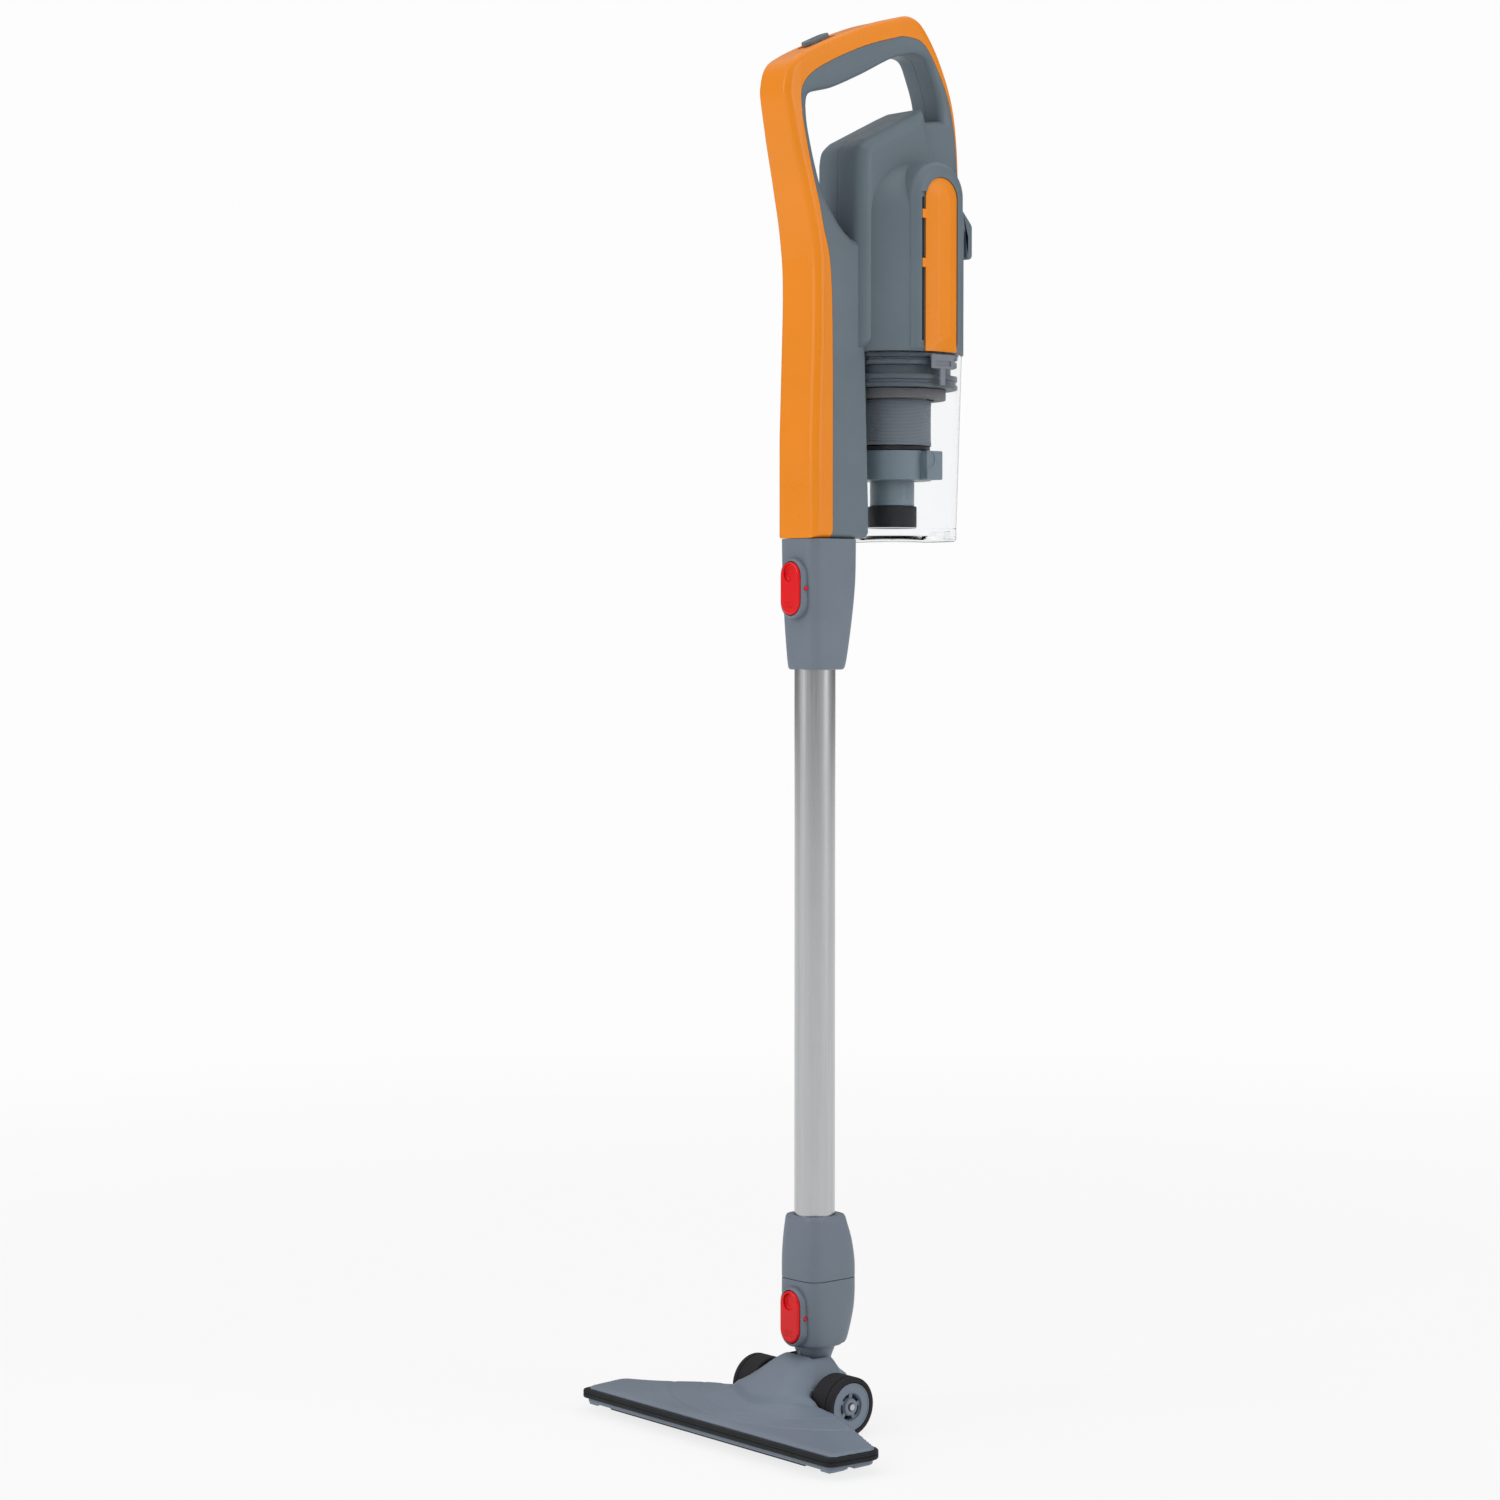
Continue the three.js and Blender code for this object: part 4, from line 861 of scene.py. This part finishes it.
def button(z):
    face = BUTTON_FACE
    cap = front_stadium(z, BUTTON_HALF, BUTTON_HIGH, face, face + 6.6, 1.8, 8)
    dish = front_stadium(z + 12, 6.6, 13.6, face - 1, face + 2.6, 1.4, 5, (False, True))
    lines = [rounded_block(-4.4, 4.4, face - 1, face + 0.45, z + k - 0.35, z + k + 0.35, 0.15)
             for k in (-14.4, -12.6, -10.8)]
    return cut(cap, dish, rod(1.75, -20, 20, BUTTON_PIN_Y, z, 24), *lines)


def add_neck_and_sockets():
    piece("neck_joint", neck(), "neck", "body_grey", "neck_elbow", look="socket_grey")
    piece("socket_lower", head_socket(), "head_socket", "body_grey", "head_socket", look="socket_grey")
    piece("collar", wand_collar(), "wand", "body_grey", "wand_collar", look="socket_grey")
    piece("socket_upper", wand_socket(), "handheld", "body_grey", "wand_socket", look="socket_grey")
    for name, z in button_places().items():
        body = "head_socket" if name == "lower" else "handheld"
        piece(name + "_release", button(z), name + "_button", "latch_red", name + "_button")
        pin = rod(1.6, -14.1, 14.1, BUTTON_PIN_Y, z, 32, 0.5)
        piece(name + "_release_pin", pin, body, "latch_red", name + "_button_pin")


def add_wand():
    base, top = low("wand_tube").z, high("wand_tube").z
    wall = 1.2
    profile = [(WAND_R - wall, base), (WAND_R, base), (WAND_R, top), (WAND_R - wall, top)]
    tube = lathe(rounded(profile, 0.4, 3), (0, 0), 160)
    piece("wand_tube_fine", tube, "wand", "tube_alloy", "wand_tube")


# ---- handheld unit ----
POD_R = 27
POD_TOP = 987
POD_EDGE = 8
GLAND_Z = 868
LOUVRES = 22


def narrowed(obj):
    """Narrows the handle towards its top."""
    def change(p):
        p.x *= 1 - smooth(900, 1040, p.z) * (1 - HANDLE_HALF / BODY_HALF)
        return p
    return warp(obj, change)


def frame_solid(inset=0.0):
    half, edge = BODY_HALF - inset, EDGE_R - inset
    steps = 9 if inset == 0 else 3
    slab = prism(frame_outline(), -half, half, "x", edge, inset, steps)
    hole = prism(hand_opening(), -half, half, "x", edge, -inset, steps, flared=True)
    return narrowed(cut(slab, hole))


def housing_solid(inset=0.0):
    steps = 24
    dome = [((HOUSING_R - inset) * math.cos(a), DOME_Z + (DOME_HEIGHT - inset) * math.sin(a))
            for a in (math.pi / 2 * k / steps for k in range(steps))]
    profile = [(0, HOUSING_LOW - inset), (HOUSING_R - inset, HOUSING_LOW - inset)] + dome
    return lathe(profile + [(0, DOME_Z + DOME_HEIGHT - inset)], (0, CUP_Y), 144)


def block_solid(inset=0.0):
    half = BLOCK_HALF - inset
    return prism(block_outline(), -half, half, "x", BLOCK_EDGE - inset, inset, 9 if inset == 0 else 3)


def pod_solid():
    reach = low("side_panel_left").x + 1.8
    return prism(arch_outline(POD_R, HOUSING_LOW, POD_TOP, 40), -reach, reach, "x", POD_EDGE, 0, 9)


def cup_seat():
    """The room that the cup takes behind the spine."""
    return post(51.6, 0, CUP_Y, BODY_LOW - 1, HOUSING_LOW, 128, 55.6)


def hollow():
    """The cavity inside the spine, the housing and the block above it."""
    spine = cut(frame_solid(SHELL_WALL), block(-60, 60, 32, 70, 600, HOUSING_LOW))
    chin = keep(block(-BODY_HALF + 3, BODY_HALF - 3, -18, 27, 760, 850), copy(spine))
    spine = cut(spine, post(54, 0, CUP_Y, 600, HOUSING_LOW, 96, 58))
    return join(spine, chin, housing_solid(SHELL_WALL), block_solid(SHELL_WALL))


def panel_pocket(side):
    edge = CUP_Y - PANEL_HALF
    pocket = join(
        prism(arch_outline(PANEL_HALF + GAP, HOUSING_LOW - 5, PANEL_TOP + GAP), 54.4, 70, "x"),
        block(54.4, 70, edge - 4.6, CUP_Y, HOUSING_LOW + 4, 962),
        block(40, 70, edge - 3.6, edge - 0.6, HOUSING_LOW + 8, 958),
    )
    return mirrored(pocket, side)


def on_grip(obj):
    """Moves a piece drawn flat at the origin, forwards along X, onto the sloping top of the grip."""
    turn = Matrix.Rotation(math.radians(24), 4, "X") @ Matrix.Rotation(math.radians(90), 4, "Z")
    obj.data.transform(Matrix.Translation((0, 4, 1078.8)) @ turn)
    return obj


def flat_stadium(reach, radius, z0, z1, edge=0.0):
    line = arc(-reach, 0, radius, 90, 270, 16) + arc(reach, 0, radius, -90, 90, 16)
    return prism(line, z0, z1, "z", edge, steps=5, edges=(False, True))


def body_pieces():
    """The orange cover, and the grey body in two halves with its cavity and openings."""
    whole = frame_solid()
    region = prism(cover_region(), -60, 60, "x")
    wider = prism(cover_region(), -60, 60, "x", inset=-GAP)
    inside = hollow()
    duct = block(-13.4, 13.4, -13.4, 13.4, BODY_LOW - 5, BODY_LOW + 10)
    slot = on_grip(flat_stadium(12, 4, -16, 30))
    seat = on_grip(flat_stadium(14.6, 7, -0.9, 30))
    cover = cut(keep(copy(whole), region), copy(inside), slot, seat, copy(duct))
    grey = join(cut(whole, wider), block_solid(), housing_solid(), pod_solid())
    latch_way = block(-13, 13, 20, 40, 741, 763)
    air_way = post(40, 0, CUP_Y, HOUSING_LOW - 5, HOUSING_LOW + 5, 96)
    gland_bore = lathe([(0, -6), (6, -6), (6, 6), (0, 6)], (0, GLAND_Z), 48, "y")
    gland_bore.data.transform(Matrix.Translation((0, 136, 0)))
    grey = cut(grey, cup_seat(), panel_pocket(1), panel_pocket(-1), inside, duct, latch_way, air_way,
               gland_bore)
    halves = {}
    for name, side in SIDES:
        near, far = sorted((side * GAP / 2, side * 80))
        halves[name] = keep(copy(grey), block(near, far, -80, 200, 600, 1200))
    bpy.data.objects.remove(grey)
    return cover, halves


def side_panel():
    """A bevelled strip with a round top and a raised flat band, and two tabs across the exhaust slot."""
    seat, face = low("side_panel_left").x, high("side_panel_left").x
    outline = arch_outline(PANEL_HALF, HOUSING_LOW, PANEL_TOP)
    levels = [(seat, 0), (seat + 0.9, 0), (seat + 1.1, 0.3),
              (face - 0.25, 9.8), (face - 0.06, 10.5), (face, 11.2)]
    rings = [[(w, u, v) for u, v in offset(outline, shrink)] for w, shrink in levels]
    edge = CUP_Y - PANEL_HALF
    tabs = [rounded_block(seat + 0.2, seat + 1.5, edge - 4, edge + 1, z - 3.5, z + 3.5, 0.3)
            for z in (907, 945)]
    return join(from_rings(rings), *tabs)


def exhaust_grille():
    """The dark louvres behind the slot beside the side panel."""
    a, b = low("exhaust_grille_left"), high("exhaust_grille_left")
    back = block(a.x, a.x + 0.7, a.y, b.y, a.z, b.z)
    heights = [a.z + 1.6 + (b.z - a.z - 3.2) * i / (LOUVRES - 1) for i in range(LOUVRES)]
    return join(back, *[block(a.x + 0.4, b.x, a.y, b.y, z - 0.8, z + 0.8) for z in heights])


def power_slider():
    cap = flat_stadium(7, 6, 0.2, 3.4, 1.0)
    ribs = [rounded_block(x - 0.6, x + 0.6, -4.4, 4.4, 2.5, 5, 0.2) for x in (-6, -3.6, -1.2, 1.2, 3.6, 6)]
    stem = block(-8, 4, -2.6, 2.6, -7, 1)
    slider = join(cut(cap, *ribs), stem)
    slider.data.transform(Matrix.Translation((-4, 0, 0)))
    return on_grip(slider)


def cord_hook():
    a, b = low("cord_hook"), high("cord_hook")
    line = [(a.y, 944), (a.y, b.z), (145, 958), (b.y, 946), (b.y, a.z + 2), (154, a.z), (151, a.z),
            (149.6, a.z + 2), (149.6, 938), (146.4, 942), (144, 944)]
    return prism(rounded(line, 2.4, 4), a.x, b.x, "x", 1.4, 0, 5)


def cord_gland():
    profile = [(3.3, -7), (8, -7), (8, -4.6), (5.7, -4.6), (5.7, 2.2), (8.4, 2.2), (8.4, 3.2), (7.6, 3.8),
               (7.6, 4.6), (6.9, 5.2), (6.9, 6.0), (6.2, 6.6), (5.6, 8), (3.3, 8)]
    gland = lathe(rounded(profile, 0.3, 2), (0, GLAND_Z), 64, "y")
    gland.data.transform(Matrix.Translation((0, 137, 0)))
    return gland


def add_body():
    cover, halves = body_pieces()
    piece("cover_skin", cover, "handheld", "accent_orange", "front_cover")
    for name, side in SIDES:
        panel, louvres = mirrored(side_panel(), side), mirrored(exhaust_grille(), side)
        piece("shell_" + name, halves[name], "handheld", "body_grey", "body_shell_" + name)
        piece("panel_" + name, panel, "handheld", "accent_orange", "side_panel_" + name)
        piece("louvres_" + name, louvres, "handheld", "trim_black", "exhaust_grille_" + name)
    piece("slider_cap", power_slider(), "power_slider", "body_grey", "power_slider")
    piece("hook", cord_hook(), "handheld", "body_grey", "cord_hook")
    piece("gland", cord_gland(), "handheld", "bumper_black", "cord_gland")


add_head()
add_wheels()
add_neck_and_sockets()
add_wand()
add_body()


# ---- dust cup, its lid, filter and clips ----
CUP_LOW = 702
CUP_TOP = HOUSING_LOW - GAP
CUP_LOW_R = 51
CUP_TOP_R = 55
CUP_WALL = 2.2
HINGE = (136.2, 697)


def cup_radius(z):
    return CUP_LOW_R + (CUP_TOP_R - CUP_LOW_R) * (z - CUP_LOW) / (HOUSING_LOW - CUP_LOW)


def cup_ring(profile, soft):
    return lathe(rounded(profile, soft, 3), (0, CUP_Y), 128)


def cup_wall():
    base, top = cup_radius(CUP_LOW), cup_radius(CUP_TOP)
    profile = [(base - CUP_WALL, CUP_LOW), (base, CUP_LOW), (top, CUP_TOP), (top - CUP_WALL, CUP_TOP)]
    wall = cup_ring(profile, 0.6)
    y, z = HINGE
    lugs = []
    for x in (-9, 9):
        lugs += [rod(3, x - 3, x + 3, y, z, 32), block(x - 3, x + 3, 130, y, z - 1, z + 3),
                 block(x - 3, x + 3, 130, 134, z, z + 11)]
    pin = rod(1.7, -20, 20, y, z, 32)
    lug = cut(join(*lugs), pin, post(base - CUP_WALL, 0, CUP_Y, 690, 720, 96),
              post(53, 0, CUP_Y, 680, CUP_LOW - GAP, 96))
    return cut(join(wall, lug), block(-11.4, 11.4, 20, 50, 743, 761))


def cup_lid():
    r, top = CUP_LOW_R, CUP_LOW - GAP
    dish = cup_ring([(0, 692.4), (30, 691.4), (r - 1, 692), (r, 694), (r, top), (r - 2, top),
                     (r - 2.4, 695.4), (28, 694), (0, 696)], 0.5)
    y, z = HINGE
    return join(dish, rod(3, -5.7, 5.7, y, z, 32), block(-5.7, 5.7, 131.5, y, z - 2, z + 2),
                rod(1.6, -11.8, 11.8, y, z, 32), rounded_block(-5, 5, 31.3, 33, 692.4, 700, 0.3))


def filter_collar():
    """Stepped rings between the cup's rim and the filter."""
    rim = cup_radius(812) - CUP_WALL - GAP
    steps = [(42, 811.6), (rim, 811.6), (rim, 814.4), (rim - 1.5, 815.2), (rim - 1.5, 817.2),
             (rim - 0.3, 817.8), (rim - 0.3, 821.6), (rim - 5.5, 822), (rim - 5.5, 828.6), (rim - 0.6, 829),
             (rim - 0.6, 832.6), (rim - 2.2, 833), (rim - 2.2, 834.6), (rim, 835), (rim, 838.2), (42, 838.2)]
    return cup_ring(steps, 0.35)


def filter_mesh():
    a, b = low("filter_mesh"), high("filter_mesh")
    r = b.x
    return cup_ring([(r - 1.8, a.z), (r, a.z), (r, a.z + 3), (r - 0.35, a.z + 3.4), (r - 0.35, b.z - 3.4),
                     (r, b.z - 3), (r, b.z), (r - 1.8, b.z)], 0.2)


def cyclone_guide():
    b = high("cyclone_guide")
    guide = cup_ring([(14, 720), (17.6, 720), (17.6, 740), (31, 740), (31, b.z), (16, b.z), (16, b.z - 3),
                      (28.4, b.z - 3), (28.4, 743), (14, 743)], 0.5)
    boss = rounded_block(20, b.x, CUP_Y + 2, CUP_Y + 19, 740.2, b.z - 0.2, 1.2)
    boss = cut(boss, post(30, 0, CUP_Y, 700, 800, 96))
    notch = rod(7, b.x - 0.5, b.x + 3, CUP_Y + 3, 756, 48, 0.1)
    return cut(join(guide, boss), notch)


def plain_ring(node, bore, soft=0.8):
    a, b = low(node), high(node)
    return cup_ring([(bore, a.z), (b.x, a.z), (b.x, b.z), (bore, b.z)], soft)


def cup_clip():
    """A small clasp with a bead to press, hung over the cup's rim."""
    a, b = low("cup_clip_left"), high("cup_clip_left")
    middle, half = (a.y + b.y) / 2, (b.y - a.y) / 2
    plate = rounded_block(a.x + 0.4, b.x - 0.4, middle - half, middle + half, b.z - 11, b.z, 0.7)
    plate = cut(plate, block(a.x + 1.5, b.x + 1, middle - 8, middle + 8, b.z - 9, b.z - 5))
    tail = rounded_block(a.x + 0.5, b.x - 0.7, middle - 2.6, middle + 2.6, a.z, b.z - 10.6, 0.5)
    profile = rounded([(0, a.y), (1.4, a.y), (1.4, b.y), (0, b.y)], 0.5)
    return join(plate, tail, lathe(profile, ((a.x + b.x) / 2, b.z - 1.6), 32, "y"))


def add_cup():
    piece("cup_clear", cup_wall(), "dust_cup", "clear_cup", "cup_wall")
    piece("lid_clear", cup_lid(), "cup_lid", "clear_cup", "cup_lid")
    piece("collar_rings", filter_collar(), "dust_cup", "dark_grey", "filter_collar")
    piece("mesh_sleeve", filter_mesh(), "dust_cup", "filter_mesh", "filter_mesh")
    piece("guide", cyclone_guide(), "dust_cup", "body_grey", "cyclone_guide")
    for node, bore, look in (("filter_seal", 33, "seal_grey"), ("filter_seam_ring", 24, None)):
        piece(node + "_soft", plain_ring(node, bore), "dust_cup", "bumper_black", node, look=look)
    boot = cut(plain_ring("filter_boot", 3, 0.9), post(15, 0, CUP_Y, CUP_LOW + 2, 730))
    piece("boot_soft", boot, "dust_cup", "bumper_black", "filter_boot")
    for name, side in SIDES:
        clip = "cup_clip_" + name
        piece("clasp_" + name, mirrored(cup_clip(), side), clip, "dark_grey", clip, look="clasp_grey")


add_cup()


# ---- CAD nodes that stay, with their finish ----
RIM_WIDTH = 0.00025
slot_of = {part["node"]: part["material_slot"] for part in frame["record"]["subparts"]}
replaced = set()
for obj in bpy.data.objects:
    replaced |= set(obj.get("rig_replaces", []))
for name, obj in nodes.items():
    obj.data.materials.clear()
    obj.data.materials.append(looks[slot_of[name]])
    if name in replaced:
        continue
    rim = obj.modifiers.new("rim", "BEVEL")
    rim.width = RIM_WIDTH
    rim.segments = 2
    rim.limit_method = "ANGLE"
    rim.angle_limit = math.radians(40)


# ---- floor, light and camera ----
def add_stage():
    """A pale floor that turns into an even pale surround well away from the object."""
    bm = bmesh.new()
    bmesh.ops.create_circle(bm, cap_ends=True, segments=96, radius=STAGE_R)
    floor = to_object(bm, "floor")
    g = Graph("studio_floor")
    g.color(g.ramp(g.noise(1.2, 4, 0.5), [(0.3, 0.86), (0.7, 0.9)]))
    g.rough(g.ramp(g.noise(30, 3, 0.5), [(0.3, 0.75), (0.7, 0.85)]))
    g.set("Specular IOR Level", 0.2)
    away = g.add("VectorMath", {0: g.place}, operation="LENGTH").outputs["Value"]
    fade = g.add("MapRange", {"From Min": 0.7, "From Max": 2.6, "To Min": 0.8, "Value": away},
                 interpolation_type="SMOOTHSTEP")
    g.surface(g.blend(fade.outputs["Result"], g.shader.outputs[0], g.glow(SURROUND)))
    floor.data.materials.append(g.material)

    bm = bmesh.new()
    bmesh.ops.create_uvsphere(bm, u_segments=48, v_segments=24, radius=STAGE_R)
    surround = to_object(bm, "surround")
    surround.visible_glossy = False
    surround.visible_diffuse = False
    surround.visible_shadow = False
    even = Graph("surround")
    even.surface(even.glow(SURROUND))
    even.tree.nodes.remove(even.shader)
    surround.data.materials.append(even.material)


def add_lamp(name, azimuth, height, distance, size, power):
    """A soft box round the object: azimuth 0 is in front of it, 90 to its left."""
    a = math.radians(azimuth)
    place = Vector((distance * math.sin(a), -distance * math.cos(a), height))
    lamp = bpy.data.lights.new(name, "AREA")
    lamp.shape = "RECTANGLE"
    lamp.size, lamp.size_y = size
    lamp.energy = power
    obj = bpy.data.objects.new(name, lamp)
    obj.location = place
    obj.rotation_euler = (LAMP_AIM - place).to_track_quat("-Z", "Y").to_euler()
    bpy.context.scene.collection.objects.link(obj)


def add_world():
    """Studio surroundings: bright walls to the sides, a bright ceiling, dimmer walls before and behind."""
    world = bpy.data.worlds.new("studio")
    world.use_nodes = True
    bpy.context.scene.world = world
    w = Nodes(world.node_tree)
    split = w.add("SeparateXYZ", {0: w.add("TexCoord", {}).outputs["Generated"]})
    x, y, z = (split.outputs[k] for k in "XYZ")
    across = w.math("SQRT", w.math("ADD", w.math("MULTIPLY", x, x), w.math("MULTIPLY", y, y)))
    ahead = w.math("ADD", w.math("MULTIPLY", x, math.sin(CAMERA_AZIMUTH)),
                   w.math("MULTIPLY", y, -math.cos(CAMERA_AZIMUTH)))
    turn = w.math("DIVIDE", ahead, w.math("MAXIMUM", across, 0.001))
    walls = w.ramp(w.math("ADD", w.math("MULTIPLY", turn, 0.5), 0.5), WALLS)
    up = w.add("MapRange", {"From Min": 0.35, "From Max": 0.8, "To Max": 1.0, "Value": z},
               interpolation_type="SMOOTHSTEP")
    sky = w.mix(up.outputs["Result"], walls, (CEILING, CEILING, CEILING))
    w.link(sky, w.tree.nodes["Background"].inputs["Color"])


def add_camera():
    data = bpy.data.cameras.new("camera")
    data.sensor_width = 36
    data.lens = CAMERA_LENS
    data.clip_end = 60
    camera = bpy.data.objects.new("camera", data)
    camera.location = CAMERA_PLACE
    turn = Matrix.Rotation(CAMERA_AZIMUTH + CAMERA_YAW, 4, "Z")
    tilt = Matrix.Rotation(math.radians(90) - CAMERA_DOWN, 4, "X")
    camera.rotation_euler = (turn @ tilt).to_euler()
    bpy.context.scene.collection.objects.link(camera)
    bpy.context.scene.camera = camera


STAGE_R = 14
SURROUND = 0.98
LAMP_AIM = Vector((0, 0, 0.55))
CEILING = 0.9
WALLS = [(0.0, 0.25), (0.12, 0.16), (0.4, 0.18), (0.55, 0.7), (0.72, 0.95), (0.88, 0.4), (1.0, 0.2)]
CAMERA_AZIMUTH = math.radians(48.25)
CAMERA_DISTANCE = 2.576
CAMERA_HEIGHT = 0.628
CAMERA_LENS = 79.2
CAMERA_YAW = math.radians(1.128)
CAMERA_DOWN = math.radians(2.22)
CAMERA_PLACE = (
    CAMERA_DISTANCE * math.sin(CAMERA_AZIMUTH),
    -CAMERA_DISTANCE * math.cos(CAMERA_AZIMUTH) + WAND_Y,
    CAMERA_HEIGHT,
)
add_stage()
add_world()
add_lamp("front_box", -18, 1.9, 3.0, (1.4, 2.0), 23)
add_lamp("side_box", 112, 1.7, 3.0, (1.2, 2.0), 16)
add_lamp("top_box", 40, 4.2, 0.6, (2.4, 2.4), 15)
add_camera()
bpy.context.scene.view_settings.view_transform = "Standard"
